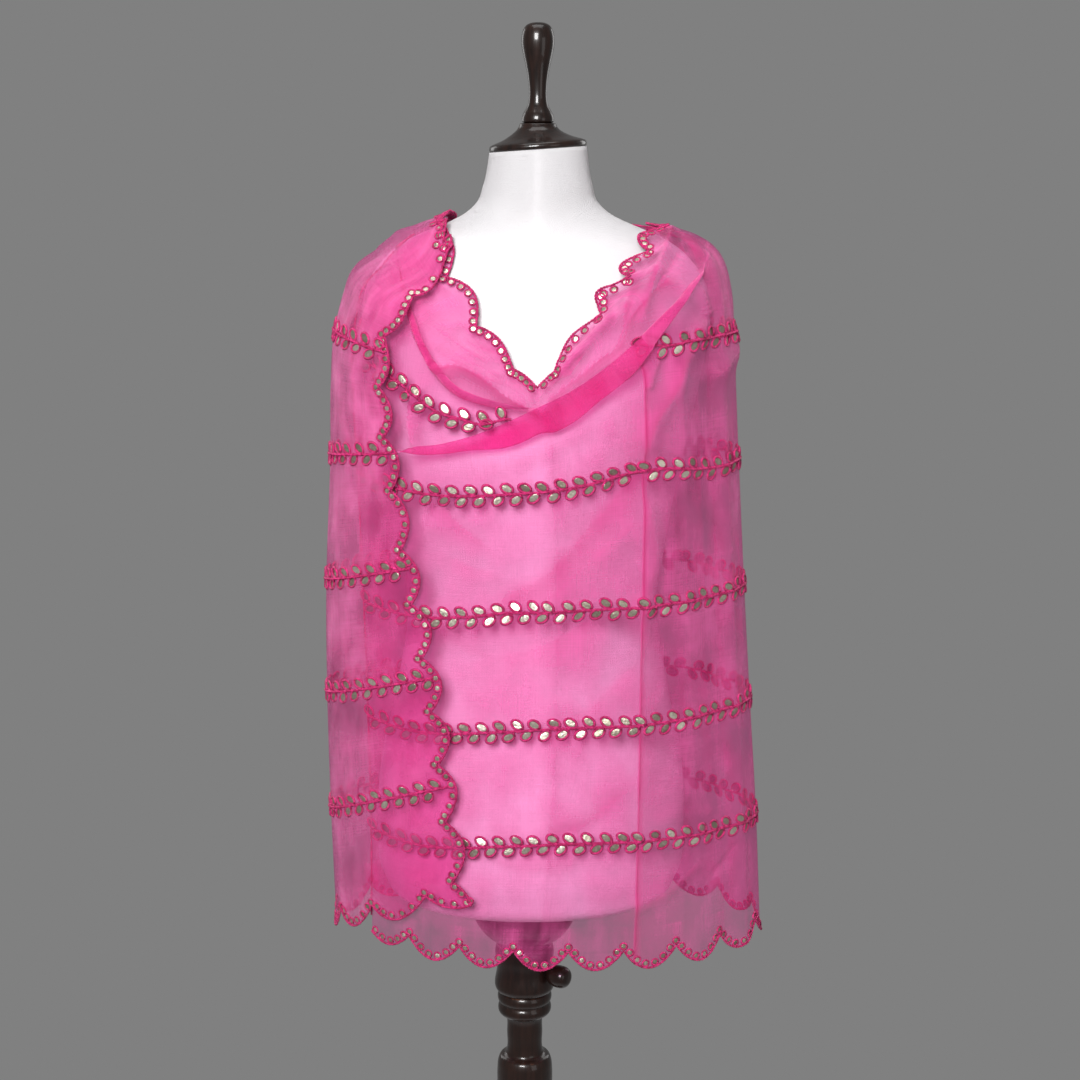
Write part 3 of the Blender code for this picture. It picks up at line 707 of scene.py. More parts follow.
COWL = (
    Pleat(-0.1420, 1.2020, 0.0000, 0.0000),
    Pleat(-0.1250, 1.2050, 0.0080, 0.0010),
    Pleat(-0.0918, 1.2085, 0.0115, 0.0020),
    Pleat(-0.0671, 1.2138, 0.0130, 0.0030),
    Pleat(-0.0330, 1.2215, 0.0182, 0.0042),
    Pleat(0.0030, 1.2353, 0.0212, 0.0052),
    Pleat(0.0267, 1.2472, 0.0212, 0.0055),
    Pleat(0.0455, 1.2600, 0.0190, 0.0055),
    Pleat(0.0839, 1.2905, 0.0175, 0.0050),
    Pleat(0.1015, 1.3105, 0.0145, 0.0042),
    Pleat(0.1200, 1.3325, 0.0125, 0.0032),
    Pleat(0.1380, 1.3540, 0.0098, 0.0022),
    Pleat(0.1538, 1.3718, 0.0075, 0.0012),
    Pleat(0.1660, 1.3860, 0.0000, 0.0000),
)
TUCK = (
    Pleat(-0.1350, 1.3850, 0.0000, 0.0000),
    Pleat(-0.1280, 1.3600, 0.0060, 0.0008),
    Pleat(-0.1211, 1.3397, 0.0094, 0.0014),
    Pleat(-0.1129, 1.3164, 0.0102, 0.0018),
    Pleat(-0.0994, 1.2908, 0.0106, 0.0020),
    Pleat(-0.0815, 1.2694, 0.0106, 0.0020),
    Pleat(-0.0560, 1.2565, 0.0102, 0.0018),
    Pleat(-0.0282, 1.2508, 0.0090, 0.0014),
    Pleat(-0.0080, 1.2505, 0.0070, 0.0010),
    Pleat(0.0080, 1.2530, 0.0000, 0.0000),
)


def smooth_rows(rows: Sequence, at: Array) -> Array:
    """Read every column of a table at places of its first column.

    Between two rows the value is the cubic that meets both rows and the slopes there.

    Args:
        rows: The table, its first column rising.
        at: The places to read, of any shape.

    Returns:
        One array of that shape for each further column.
    """
    table = np.array(rows)
    places = table[:, 0]
    values = table[:, 1:]
    slopes = np.gradient(values, places, axis=0)
    index = np.clip(np.searchsorted(places, at) - 1, 0, len(places) - 2)
    span = places[index + 1] - places[index]
    share = ((at - places[index]) / span)[..., None]
    span = span[..., None]
    square = share ** 2
    cube = share ** 3
    read = ((2 * cube - 3 * square + 1) * values[index]
            + (3 * square - 2 * cube) * values[index + 1]
            + span * ((cube - 2 * square + share) * slopes[index]
                      + (cube - square) * slopes[index + 1]))
    return np.moveaxis(read, -1, 0)


def smooth_path(points: Sequence[tuple[float, float]], spacing: float) -> Array:
    """Lay points along a smooth curve through the given ones, by length along them.

    Args:
        points: The given points. Two of them are a straight line and stay as they are.
        spacing: About how far apart the points lie.

    Returns:
        The points, (n, 2).
    """
    table = np.array(points)
    if len(table) == 2:
        return table
    length = np.concatenate([[0.0], np.cumsum(np.hypot(*np.diff(table, axis=0).T))])
    count = max(int(length[-1] / spacing), len(table)) + 1
    return smooth_rows(np.column_stack([length, table]), np.linspace(0.0, length[-1], count)).T


def smooth_step(value: Array) -> Array:
    """Ease from 0 to 1 as value goes from 0 to 1: 3 s squared less 2 s cubed."""
    share = np.clip(value, 0.0, 1.0)
    return share * share * (3.0 - 2.0 * share)


def bell(value: Array, centre: float, width: float) -> Array:
    """Fade from 1 at the centre: e to the minus square of the distance over the width."""
    return np.exp(-((value - centre) / width) ** 2)


def unit(vectors: Array) -> Array:
    """Vectors of length 1 along the given ones."""
    return vectors / np.maximum(np.linalg.norm(vectors, axis=-1, keepdims=True), 1e-12)


def turned(x: Array, y: Array, turn: Array) -> tuple[Array, Array]:
    """Turn one outline in its plane, once for each angle.

    Args:
        x: Its places across, (n,).
        y: Its places up, (n,).
        turn: The angles in radians, (copies,).

    Returns:
        The turned places across and up, each (copies, n).
    """
    cosine = np.cos(turn)[:, None]
    sine = np.sin(turn)[:, None]
    return x * cosine - y * sine, x * sine + y * cosine


# Meshes

def add_piece(name: str, points: Array, faces: Sequence[Array], material: bpy.types.Material,
              flat: Array | None = None, **shares: Array) -> bpy.types.Object:
    """Put a smooth-shaded mesh in the scene as one object at the origin.

    Args:
        name: The object's name.
        points: Its vertices, (n, 3).
        faces: Arrays of vertex numbers, each (m, 3) or (m, 4).
        material: Its material.
        flat: Flat place of each vertex, (n, 2), for the UV map.
        shares: Attributes of the vertices, each (n,), such as how far they are rubbed bare.

    Returns:
        The object.
    """
    faces = [np.asarray(part) for part in faces if len(part)]
    corners = np.concatenate([part.ravel() for part in faces])
    counts = np.concatenate([np.full(len(part), part.shape[1]) for part in faces])
    starts = np.concatenate([[0], np.cumsum(counts)[:-1]])
    mesh = bpy.data.meshes.new(name)
    mesh.vertices.add(len(points))
    mesh.vertices.foreach_set("co", np.ascontiguousarray(points, dtype=np.float32).ravel())
    mesh.loops.add(len(corners))
    mesh.loops.foreach_set("vertex_index", corners.astype(np.int32))
    mesh.polygons.add(len(counts))
    mesh.polygons.foreach_set("loop_start", starts.astype(np.int32))
    mesh.polygons.foreach_set("loop_total", counts.astype(np.int32))
    if flat is not None:
        layer = mesh.uv_layers.new(name="flat")
        layer.data.foreach_set("uv", flat[corners].astype(np.float32).ravel())
    for key, share in shares.items():
        mesh.attributes.new(key, "FLOAT", "POINT").data.foreach_set(
            "value", np.ascontiguousarray(share, dtype=np.float32))
    mesh.update(calc_edges=True)
    mesh.validate()
    mesh.shade_smooth()
    mesh.materials.append(material)
    item = bpy.data.objects.new(name, mesh)
    bpy.context.scene.collection.objects.link(item)
    log.info("%s: %d points, %d faces", name, len(points), len(counts))
    return item


def grid_faces(rows: int, columns: int, wrap_rows: bool = False, wrap_columns: bool = False
               ) -> Array:
    """Make quads over a grid.

    Args:
        rows: Its count of rows.
        columns: Its count of columns.
        wrap_rows: Whether its last row joins its first.
        wrap_columns: Whether its last column joins its first.

    Returns:
        Vertex numbers, (m, 4).
    """
    i = np.arange(rows if wrap_rows else rows - 1)[:, None]
    j = np.arange(columns if wrap_columns else columns - 1)[None, :]
    i_next = (i + 1) % rows
    j_next = (j + 1) % columns
    quads = np.stack([i * columns + j, i * columns + j_next,
                      i_next * columns + j_next, i_next * columns + j], axis=-1)
    return quads.reshape(-1, 4)


def end_fans(rows: int, columns: int) -> list[Array]:
    """Close both ends of a tube of rings with fans.

    Args:
        rows: Its count of rings.
        columns: The count of points of a ring.

    Returns:
        Vertex numbers of the low and the high fan. Their middles are the two points that come
        after the rings.
    """
    ring = np.arange(columns)
    after = (ring + 1) % columns
    low, top = rows * columns, (rows - 1) * columns
    return [np.stack([np.full(columns, low), after, ring], axis=-1),
            np.stack([np.full(columns, low + 1), top + ring, top + after], axis=-1)]


class Batch:
    """Parts of one piece, put together before they become a mesh."""

    def __init__(self) -> None:
        """Start empty."""
        self.points: list[Array] = []
        self.flat: list[Array] = []
        self.faces: list[Array] = []
        self.count = 0

    def add(self, points: Array, faces: Sequence[Array], flat: Array) -> None:
        """Add copies of one shape.

        Args:
            points: (copies, n, 3) vertices.
            faces: Arrays of vertex numbers of one copy.
            flat: (copies, n, 2) flat places.
        """
        copies, size = points.shape[:2]
        shift = self.count + np.arange(copies)[:, None, None] * size
        self.points.append(points.reshape(-1, 3))
        self.flat.append(flat.reshape(-1, 2))
        self.faces += [(part[None] + shift).reshape(-1, part.shape[1]) for part in faces]
        self.count += copies * size

    def piece(self, name: str, material: bpy.types.Material) -> bpy.types.Object:
        """Make the object."""
        return add_piece(name, np.concatenate(self.points), self.faces, material,
                         np.concatenate(self.flat))


def sweep(batch: Batch, path: Array, side: Array, lift: Array, radius: float, sides: int,
          closed: bool) -> None:
    """Carry a circle along paths: path + radius (side cos a + lift sin a).

    Args:
        batch: Where the tubes go.
        path: (copies, m, 3) centre lines.
        side: Unit vectors across the paths, of the same shape.
        lift: Unit vectors across both, of the same shape.
        radius: The tube's radius.
        sides: Its count of sides.
        closed: Whether each path is a loop.
    """
    angle = np.arange(sides) * (2.0 * math.pi / sides)
    round_it = (side[:, :, None] * np.cos(angle)[:, None]
                + lift[:, :, None] * np.sin(angle)[:, None])
    points = path[:, :, None] + radius * round_it
    copies, count = path.shape[:2]
    steps = np.linalg.norm(np.diff(path, axis=1, append=path[:, :1]), axis=-1)
    length = np.concatenate([np.zeros((copies, 1)), np.cumsum(steps, axis=1)[:, :-1]], axis=1)
    flat = np.stack([np.broadcast_to(length[:, :, None], points.shape[:3]),
                     np.broadcast_to(angle / (2.0 * math.pi), points.shape[:3])], axis=-1)
    faces = [grid_faces(count, sides, closed, True)]
    if not closed:
        ring = np.arange(sides)
        fan = np.stack([np.zeros(sides - 2, int), ring[2:], ring[1:-1]], axis=-1)
        faces += [fan, (count - 1) * sides + fan[:, ::-1]]
    batch.add(points.reshape(copies, count * sides, 3), faces,
              flat.reshape(copies, count * sides, 2))


# The drape

@dataclass(frozen=True)
class Drape:
    """The stole's surface, as it hangs on the form."""

    centre_x: float = 0.0135
    seat: float = 0.0030
    squareness: float = 2.4
    form_bottom: float = 0.7180
    form_top: float = 1.4885
    form_foot_x: float = 0.006
    form_head_x: float = 0.0145
    form_squareness: float = 2.3
    width: float = 0.73
    pitch: float = 0.0555
    lobe_share: float = 0.026
    top_lobe: float = 0.78
    gathered_lobe: float = 0.35
    lobe_shift: float = 0.16
    vee_reach: float = 0.016
    end_lobes: float = 12.2
    end_lobe_shift: float = 0.55
    end_lobe_turn: float = 4.5
    end_from: float = 17.75
    crease_hold: float = 230.0
    layer_lift: float = 0.009
    neck_lift: float = 0.005
    crease_height: float = 0.0060
    crease_width: float = 6.0
    panel_rise: float = 0.058
    seat_rounds: int = 8
    seat_step: float = 0.02
    left_vee: float = 1.25
    right_vee: tuple[float, float] = (1.90, 4.40)
    vee_low: Ramp = Ramp(1.0, -0.14)
    left_point: Ramp = Ramp(0.68, 0.30)
    right_point: Ramp = Ramp(0.62, 0.20)
    side_flat: float = 0.25
    side_round: Ramp = Ramp(0.0, 0.7)
    near_neck: Ramp = Ramp(0.90, 0.10)
    first_pass_to: float = 270.0
    shoulder_slip: Swell = Swell(0.034, 212.0, 22.0)
    inner_corner_rise: Swell = Swell(0.010, 38.0, 18.0)
    front_sag: Swell = Swell(-0.012, 60.0, 26.0)
    sag_from: Ramp = Ramp(0.0, 0.12)
    sag_to: Ramp = Ramp(0.74, -0.12)
    crease_rise: Swell = Swell(0.014, 119.0, 20.0)
    crease_rise_level: tuple[float, float] = (0.68, 0.09)
    crease_to: Ramp = Ramp(0.84, -0.10)
    fold_scale: float = 1.3
    fold_front: Ramp = Ramp(0.0, -0.03)
    fold_soft: float = 1.5
    fold_sharp: float = 0.22
    # Painted shade and bunching on one side of each wave, and its reaches.
    wave_painted_shade_and_bunching: float = 0.24
    wave_soft: float = 0.55
    wave_sharp: float = 0.8
    panel_gather: float = 0.13
    panel_from: Ramp = Ramp(335.0, 30.0)
    # Painted shade: a dark line on the pressed crease and a shade over the cloth beyond it, as it
    # turns from the light.
    crease_painted_shade: float = 0.9
    crease_soft: float = 1.4
    crease_sharp: float = 0.3
    painted_shade_beyond_crease: float = 0.24
    shade_turn: float = 22.0
    painted_shade_to: Ramp = Ramp(0.90, -0.10)
    press_fade: float = 8.0
    press_width: float = 0.006
    pleat_width: float = 0.0075
    pleat_end: float = 0.006
    pleat_step: float = 0.002
    pleat_out: Ramp = Ramp(1.0, -2.0)
    pleat_tail: float = 2.6
    hidden_below: float = 1.4
    hidden_above: float = 0.9
    second_layer: Ramp = Ramp(318.0, 34.0)
    thin_from: Ramp = Ramp(0.88, 0.10)
    panel_turns: tuple[float, float] = (352.0, 75.0)
    panel_top: Ramp = Ramp(1.0, -0.12)
    hem_band: float = 0.055
    top_band: float = 0.035
    vee_from: Ramp = Ramp(3.6, 0.6)
    vee_to: Ramp = Ramp(6.6, -1.2)

    @cached_property
    def hem(self) -> tuple[Array, Array]:
        """Turn of every place along the hem, and its length from the start edge.

        Returns:
            The turns and the lengths.
        """
        turns = np.arange(EDGES[0].start, EDGES[0].end + 0.25, 0.25)
        points = self.bare(turns, np.zeros_like(turns))
        steps = np.linalg.norm(np.diff(points, axis=0), axis=1)
        return turns, np.concatenate([[0.0], np.cumsum(steps)])

    @cached_property
    def last(self) -> float:
        """Count of scallops along the whole hem."""
        return float(self.hem[1][-1]) / self.pitch

    @cached_property
    def crease(self) -> float:
        """Count of scallops at the pressed crease."""
        return float(np.interp(EDGES[0].crease, *self.hem)) / self.pitch

    def form_middle(self, z: Array) -> Array:
        """Place across of the form's axis at heights. It leans to the viewer's right."""
        share = (z - self.form_bottom) / (self.form_top - self.form_bottom)
        return self.form_foot_x + (self.form_head_x - self.form_foot_x) * share

    def form_reach(self, points: Array) -> Array:
        """Tell places in the form from places outside it.

        On each level the form is a superellipse: the shares of its half width and its depth,
        each to a power, add up to 1. The reach is that sum to one over the power.

        Args:
            points: The places, (..., 3).

        Returns:
            1 on the form's surface, less inside and more outside.
        """
        z = np.clip(points[..., 2], self.form_bottom, self.form_top)
        half_width, front, back = smooth_rows(FORM_SECTIONS, z)
        across = np.abs(points[..., 0] - self.form_middle(z)) / half_width
        along = np.abs(points[..., 1]) / np.where(points[..., 1] < 0.0, front, back)
        power = self.form_squareness
        return (across ** power + along ** power) ** (1.0 / power)

    def clear_of_form(self, points: Array, clearance: Array) -> Array:
        """Move points that are too near the form straight out from it, to the clearance.

        Args:
            points: The points, (..., 3).
            clearance: The least distance of each.

        Returns:
            The points, moved.
        """
        flat = points.reshape(-1, 3).copy()
        need = np.broadcast_to(clearance, points.shape[:-1]).reshape(-1)
        near = np.arange(len(flat))
        for _ in range(self.seat_rounds):
            here = flat[near]
            reach = self.form_reach(here)
            slope = np.stack([(self.form_reach(here + step) - self.form_reach(here - step))
                              / (2 * NUDGE) for step in NUDGE * np.eye(3)], axis=-1)
            size = np.linalg.norm(slope, axis=-1)
            short = np.clip(need[near] - (reach - 1.0) / size, 0.0, self.seat_step)
            flat[near] = here + slope * (short / size)[..., None]
            near = near[short > 1e-6]
            if len(near) == 0:
                break
        return flat.reshape(points.shape)

    def bare(self, turn: Array, up: Array) -> Array:
        """Work out the surface before its folds: a squared oval that dips to a V in front.

        Across, a point goes as the cosine of its turn, and along as the sine, each to the power
        of 2 over the squareness. Its height runs from the sides' to the front's or back's with
        the square of the sine, and near the neck with how near the turn is to the V.

        Args:
            turn: Turns in degrees, 0 at the viewer's left, 90 in front, on to the second layer.
            up: Levels.

        Returns:
            The points.
        """
        left, right, front, back, left_z, right_z, front_z, back_z = smooth_rows(LEVELS, up)
        angle = np.radians(turn)
        cosine = np.cos(angle)
        sine = np.sin(angle)
        power = 2.0 / self.squareness
        on_left = cosine > 0.0
        half_width = np.where(on_left, left, right)
        side_z = np.where(on_left, left_z, right_z)
        half_depth = np.where(sine > 0.0, front, back)
        half_width = half_width + self.shoulder_slip.at(turn) * self.near_neck.at(up)
        flatten = self.side_flat * np.clip(cosine, 0.0, 1.0) * (1.0 - self.side_round.at(up))
        half_depth = half_depth * np.where(sine > 0.0, 1.0 - flatten, 1.0)
        x = self.centre_x - half_width * np.sign(cosine) * np.abs(cosine) ** power
        y = -half_depth * np.sign(sine) * np.abs(sine) ** power
        round_share = sine ** 2
        folded = np.abs(np.mod(turn, 360.0) - 90.0)
        neck_vee, low_vee = self.right_vee
        right_vee = neck_vee + (low_vee - neck_vee) * self.vee_low.at(up)
        vee = np.clip(1.0 - folded / 90.0, 0.0, 1.0) ** np.where(on_left, self.left_vee,
                                                                 right_vee)
        pointed = np.where(on_left, self.left_point.at(up), self.right_point.at(up))
        front_share = round_share + (vee - round_share) * pointed
        z = np.where(sine > 0.0, side_z + (front_z - side_z) * front_share,
                     side_z + (back_z - side_z) * round_share)
        z = z + self.inner_corner_rise.at(turn) * np.clip(1.0 - up, 0.0, 2.0) ** 4
        z = z + self.front_sag.at(turn) * (self.sag_from.at(up) * self.sag_to.at(up))
        z = z + self.crease_rise.at(turn) * bell(up, *self.crease_rise_level)
        return np.stack([x, y, z], axis=-1)

    def bare_normal(self, turn: Array, up: Array) -> Array:
        """Work out unit normals of the bare surface from differences.

        Args:
            turn: Turns.
            up: Levels.

        Returns:
            The normals, (..., 3).
        """
        along = self.bare(turn + 0.05, up) - self.bare(turn - 0.05, up)
        across = self.bare(turn, up + 0.0005) - self.bare(turn, up - 0.0005)
        return unit(np.cross(along, across))

    def fold_distance(self, points: Array, fold: Fold) -> tuple[Array, Array]:
        """Measure places from a fold's line, seen from the front.

        Args:
            points: The places, (..., 3).
            fold: The fold.

        Returns:
            The square of the distance in x and z, and a number above 0 left of the line's way.
        """
        path = smooth_path(fold.line, 0.0045)
        way = unit(np.gradient(path, axis=0))
        x = points[..., 0] - self.centre_x
        z = points[..., 2]
        near = np.full_like(x, 1.0)
        side = np.zeros_like(x)
        for k in range(len(path)):
            off_x = x - path[k, 0]
            off_z = z - path[k, 1]
            far = off_x ** 2 + off_z ** 2
            closer = far < near
            near = np.where(closer, far, near)
            side = np.where(closer, way[k, 0] * off_z - way[k, 1] * off_x, side)
        return near, side

    def fold_height(self, points: Array) -> Array:
        """Work out the front's folds: each fades as a bell with the distance to its line.

        Args:
            points: Places of the bare surface.

        Returns:
            Their heights over it.
        """
        height = np.zeros(points.shape[:-1])
        front = points[..., 1] < 0.0
        places = points[front]
        ridge = np.zeros(len(places))
        dent = np.zeros(len(places))
        for fold in FOLDS:
            near, _ = self.fold_distance(places, fold)
            rise = self.fold_scale * fold.height * np.exp(-near / fold.width ** 2)
            ridge = np.maximum(ridge, rise)
            dent = np.minimum(dent, rise)
        height[front] = (ridge + dent) * self.fold_front.at(places[:, 1])
        return height

    def gather(self, turn: Array, up: Array) -> Array:
        """Work out how far the cloth is bunched on folds, waves, crease and end panel, together
        with painted shade along the folds, the waves and the crease and beside the crease.

        Each share falls as e to the minus distance from its line, over a long reach on the
        line's soft side and a short one on its sharp side. The largest share counts.

        Args:
            turn: Turns.
            up: Levels.

        Returns:
            The shares, from 0 to 1.
        """
        points = self.bare(turn, up)
        found = np.zeros_like(turn)
        # Bunching and painted fold shade along each fold's line.
        for fold in FOLDS:
            near, side = self.fold_distance(points, fold)
            soft = side * np.sign(fold.bunching_and_painted_shade) > 0.0
            reach = fold.width * np.where(soft, self.fold_soft, self.fold_sharp)
            found = np.maximum(found, abs(fold.bunching_and_painted_shade) * np.exp(-np.sqrt(near) / reach))
        found = found * (points[..., 1] < 0.0) * (turn < self.first_pass_to)
        # Bunching and painted shade on one side of each wave.
        for wave in WAVES:
            off = turn - wave.turn
            reach = np.where(off * wave.height > 0.0, self.wave_soft * wave.width,
                             self.wave_sharp)
            share = self.wave_painted_shade_and_bunching * np.clip(wave.grown(up), 0.0, 1.0)
            found = np.maximum(found, share * np.exp(-np.abs(off) / reach))
        found = np.maximum(found, self.panel_gather * self.panel_from.at(turn))
        # Painted shade: a dark line on the pressed crease, and a shade that fades out over the
        # cloth beyond it.
        crease = smooth_rows(EDGES, up)[1]
        fade = self.painted_shade_to.at(up)
        beyond = turn - crease
        line = np.exp(-np.abs(beyond) / np.where(beyond > 0.0, self.crease_soft,
                                                 self.crease_sharp))
        under = (beyond > 0.0) * np.exp(-np.maximum(beyond, 0.0) / self.shade_turn)
        return np.maximum(found, fade * np.maximum(self.crease_painted_shade * line,
                                                   self.painted_shade_beyond_crease * under))

    def wave_height(self, turn: Array, up: Array) -> Array:
        """Add up the upright waves, the pressed lines and the pressed crease.

        A wave is a bell round its turn. A pressed line and the crease fall as e to the minus
        distance.

        Args:
            turn: Turns.
            up: Levels.

        Returns:
            Their heights.
        """
        height = np.zeros_like(turn)
        for wave in WAVES:
            height = height + wave.height * wave.grown(up) * bell(turn, wave.turn, wave.width)
        for press in PRESSES:
            within = (Ramp(press.turn_from, self.press_fade).at(turn)
                      * Ramp(press.turn_to, -self.press_fade).at(turn))
            height = height + press.height * within * np.exp(
                -np.abs(up - press.level) / self.press_width)
        crease = smooth_rows(EDGES, up)[1]
        return height + self.crease_height * self.crease_to.at(up) * np.exp(
            -np.abs(turn - crease) / self.crease_width)

    def pleat(self, points: Array, line: Sequence[Pleat]) -> tuple[Array, Array]:
        """Shift and stand-out of a swag whose lower cloth laps up in front of the upper.

        With s the distance above the line over the pleat's half width, cloth moves across the
        line by the overlap times s exp((1 - s s) / 2), so that it passes over itself twice, and
        stands out most just below the line.

        Args:
            points: Places on the surface before the pleat.
            line: The swag's line.

        Returns:
            The shift as vectors, and how far each point stands out.
        """
        x = points[..., 0] - self.centre_x
        z = points[..., 2]
        inside = np.clip(x, line[0].x, line[-1].x)
        line_z, overlap, proud = smooth_rows(line, inside)
        after, before = (smooth_rows(line, np.clip(inside + way, line[0].x, line[-1].x))[0]
                         for way in (self.pleat_step, -self.pleat_step))
        slope = (after - before) / (2 * self.pleat_step)
        size = np.sqrt(1.0 + slope ** 2)
        fade = bell(np.abs(x - inside), 0.0, self.pleat_end) * (points[..., 1] < 0.0)
        s = (z - line_z) / size / self.pleat_width
        reach = np.maximum(overlap, 0.0) * fade
        shift = -reach * s * np.exp((1.0 - s ** 2) / 2.0)
        out = np.maximum(proud, 0.0) * fade * self.pleat_out.at(s)
        out = out * bell(np.minimum(s + 1.0, 0.0), 0.0, self.pleat_tail)
        vectors = np.stack([-slope / size * shift, np.zeros_like(shift), shift / size], axis=-1)
        return vectors, out

    def tucked(self, phase: Array, row: Array) -> Array:
        """Find places in a swag's hidden layers, behind or between the others.

        Args:
            phase: Counts of scallops.
            row: Rows.

        Returns:
            Whether each is hidden.
        """
        up = self.level(phase, row)
        turn = self.turn(phase, row, up)
        points = self.bare(turn, up)
        x = points[..., 0] - self.centre_x
        found = np.zeros(x.shape, bool)
        for line in (COWL, TUCK):
            line_z, overlap, _ = smooth_rows(line, np.clip(x, line[0].x, line[-1].x))
            s = (points[..., 2] - line_z) / self.pleat_width
            within = (x > line[0].x) & (x < line[-1].x) & (overlap > self.pleat_width)
            fullness = np.maximum(overlap / self.pleat_width - 1.0, 0.0)
            found |= (within & (s > -self.hidden_below)
                      & (s < 1.0 + self.hidden_above * np.sqrt(fullness)))
        return found & (turn < self.first_pass_to) & (points[..., 1] < 0.0)

    def hang(self, turn: Array, up: Array) -> Array:
        """Add folds, waves, swags and the second layer's lift, and keep off the form.

        Args:
            turn: Turns.
            up: Levels.

        Returns:
            The points of the cloth.
        """
        points = self.bare(turn, up)
        normal = self.bare_normal(turn, up)
        first_pass = turn < self.first_pass_to
        height = self.wave_height(turn, up) + np.where(first_pass, self.fold_height(points), 0.0)
        thin = (self.layer_lift - self.neck_lift) * self.thin_from.at(up)
        lift = (self.layer_lift - thin) * self.second_layer.at(turn)
        shift = np.zeros_like(points)
        out = np.zeros_like(turn)
        for line in (COWL, TUCK):
            one_shift, one_out = self.pleat(points, line)
            shift = shift + one_shift * first_pass[..., None]
            out = out + one_out * first_pass
        points = points + shift + normal * (height + lift + out)[..., None]
        first, turns = self.panel_turns
        rise = self.panel_rise * np.clip((turn - first) / turns, 0.0, 1.2) ** 1.4
        points[..., 2] += rise * (1.0 - 0.45 * up) * self.panel_top.at(up)
        return self.clear_of_form(points, self.seat + lift + out)

    @staticmethod
    def lobe(phase: Array) -> Array:
        """Share of a scallop: 0 at a notch, 1 at a crest, a sine to the power 0.8 between."""
        return np.abs(np.sin(np.pi * phase)) ** 0.8

    def level(self, phase: Array, row: Array) -> Array:
        """Bend a row to the scallops near the hem and the neck edge.

        Args:
            phase: Counts of scallops.
            row: Rows, 0 on the hem's edge and 1 on the neck edge.

        Returns:
            The levels.
        """
        lobe = self.lobe(phase + self.lobe_shift)
        drop = self.lobe_share * (1.0 - lobe)
        gather = smooth_step((phase - self.end_from + 0.5) / 0.5)
        top = self.top_lobe + (self.gathered_lobe - self.top_lobe) * gather
        near_hem = np.clip(1.0 - row / self.hem_band, 0.0, 1.0)
        near_top = np.clip(1.0 - (1.0 - row) / self.top_band, 0.0, 1.0)
        reach = (self.vee_reach * (lobe - 0.35) * self.vee_from.at(phase)
                 * self.vee_to.at(phase))
        return row + drop * near_hem + (reach - drop * top) * near_top

    def turn(self, phase: Array, row: Array, up: Array) -> Array:
        """Find the turn: even from the start to the crease, then by length on the hem.

        The end panel runs evenly to its edge, whose scallops draw back by the turn of a lobe.

        Args:
            phase: Counts of scallops.
            row: Rows.
            up: Their levels.

        Returns:
            The turns.
        """
        hem_turn = np.interp(phase * self.pitch, self.hem[1], self.hem[0])
        start, crease, end = smooth_rows(EDGES, up)
        crease_hem = EDGES[0].crease
        share = (hem_turn - EDGES[0].start) / (crease_hem - EDGES[0].start)
        before = start + (crease - start) * share
        rest = np.clip((self.crease_hold - hem_turn) / (self.crease_hold - crease_hem), 0.0, 1.0)
        after = hem_turn + (crease - crease_hem) * rest
        first = float(np.interp(self.end_from * self.pitch, self.hem[1], self.hem[0]))
        across = (phase - self.end_from) / (self.last - self.end_from)
        notch = self.end_lobe_turn * (1.0 - self.lobe(row * self.end_lobes
                                                      + self.end_lobe_shift))
        fade = 1.0 - (1.0 - self.gathered_lobe) * self.near_neck.at(up)
        edge = end - notch * fade * np.clip(across, 0.0, 1.0) ** 6
        panel = first + (edge - first) * across
        return np.where(phase > self.end_from, panel,
                        np.where(phase <= self.crease, before, after))

    def at(self, phase: Array, row: Array) -> Array:
        """Find points of the cloth.

        Args:
            phase: Counts of scallops.
            row: Rows.

        Returns:
            The points, (..., 3).
        """
        phase, row = np.broadcast_arrays(np.asarray(phase, float), np.asarray(row, float))
        up = self.level(phase, row)
        return self.hang(self.turn(phase, row, up), up)

    def frame(self, phase: Array, row: Array) -> "Frame":
        """Find points with their slopes, from differences to points close by.

        Args:
            phase: Counts of scallops.
            row: Rows.

        Returns:
            The frames: `side` runs along the hem, `up` to the neck edge, `normal` outwards.
        """
        phase, row = np.broadcast_arrays(np.asarray(phase, float), np.asarray(row, float))
        along = (self.at(phase + SLOPE_STEP_PHASE, row)
                 - self.at(phase - SLOPE_STEP_PHASE, row)) / (2 * SLOPE_STEP_PHASE)
        across = (self.at(phase, row + SLOPE_STEP_LEVEL)
                  - self.at(phase, row - SLOPE_STEP_LEVEL)) / (2 * SLOPE_STEP_LEVEL)
        normal = unit(np.cross(along, across))
        side = unit(along)
        up = np.cross(normal, side)
        return Frame(phase, row, self.at(phase, row), side, up, normal,
                     np.linalg.norm(along, axis=-1), np.sum(across * side, axis=-1),
                     np.sum(across * up, axis=-1))


@dataclass(frozen=True)
class Frame:
    """Places on the cloth with their points, unit vectors and slopes."""

    phase: Array
    row: Array
    point: Array
    side: Array
    up: Array
    normal: Array
    along: Array
    across_side: Array
    across_up: Array

    def part(self, keep: Array) -> "Frame":
        """Only some of the places."""
        return Frame(*(getattr(self, item.name)[keep] for item in fields(self)))

    def step(self, side: Array, up: Array) -> tuple[Array, Array]:
        """Step over the surface from each place.

        Args:
            side: Distances along `side`, in metres.
            up: Distances along `up`, in metres.

        Returns:
            The phase and the row reached.
        """
        rise = np.where(np.abs(self.across_up) < 0.15, 0.15, self.across_up)
        row = up / rise
        phase = (side - row * self.across_side) / np.maximum(self.along, 0.008)
        return self.phase + phase, self.row + row


class Stretch(Enum):
    """The lengths of the stole that show, from the start edge on."""

    FRONT = "front"
    RIGHT = "right"
    BACK = "back"
    LEFT = "left"
    END = "end"


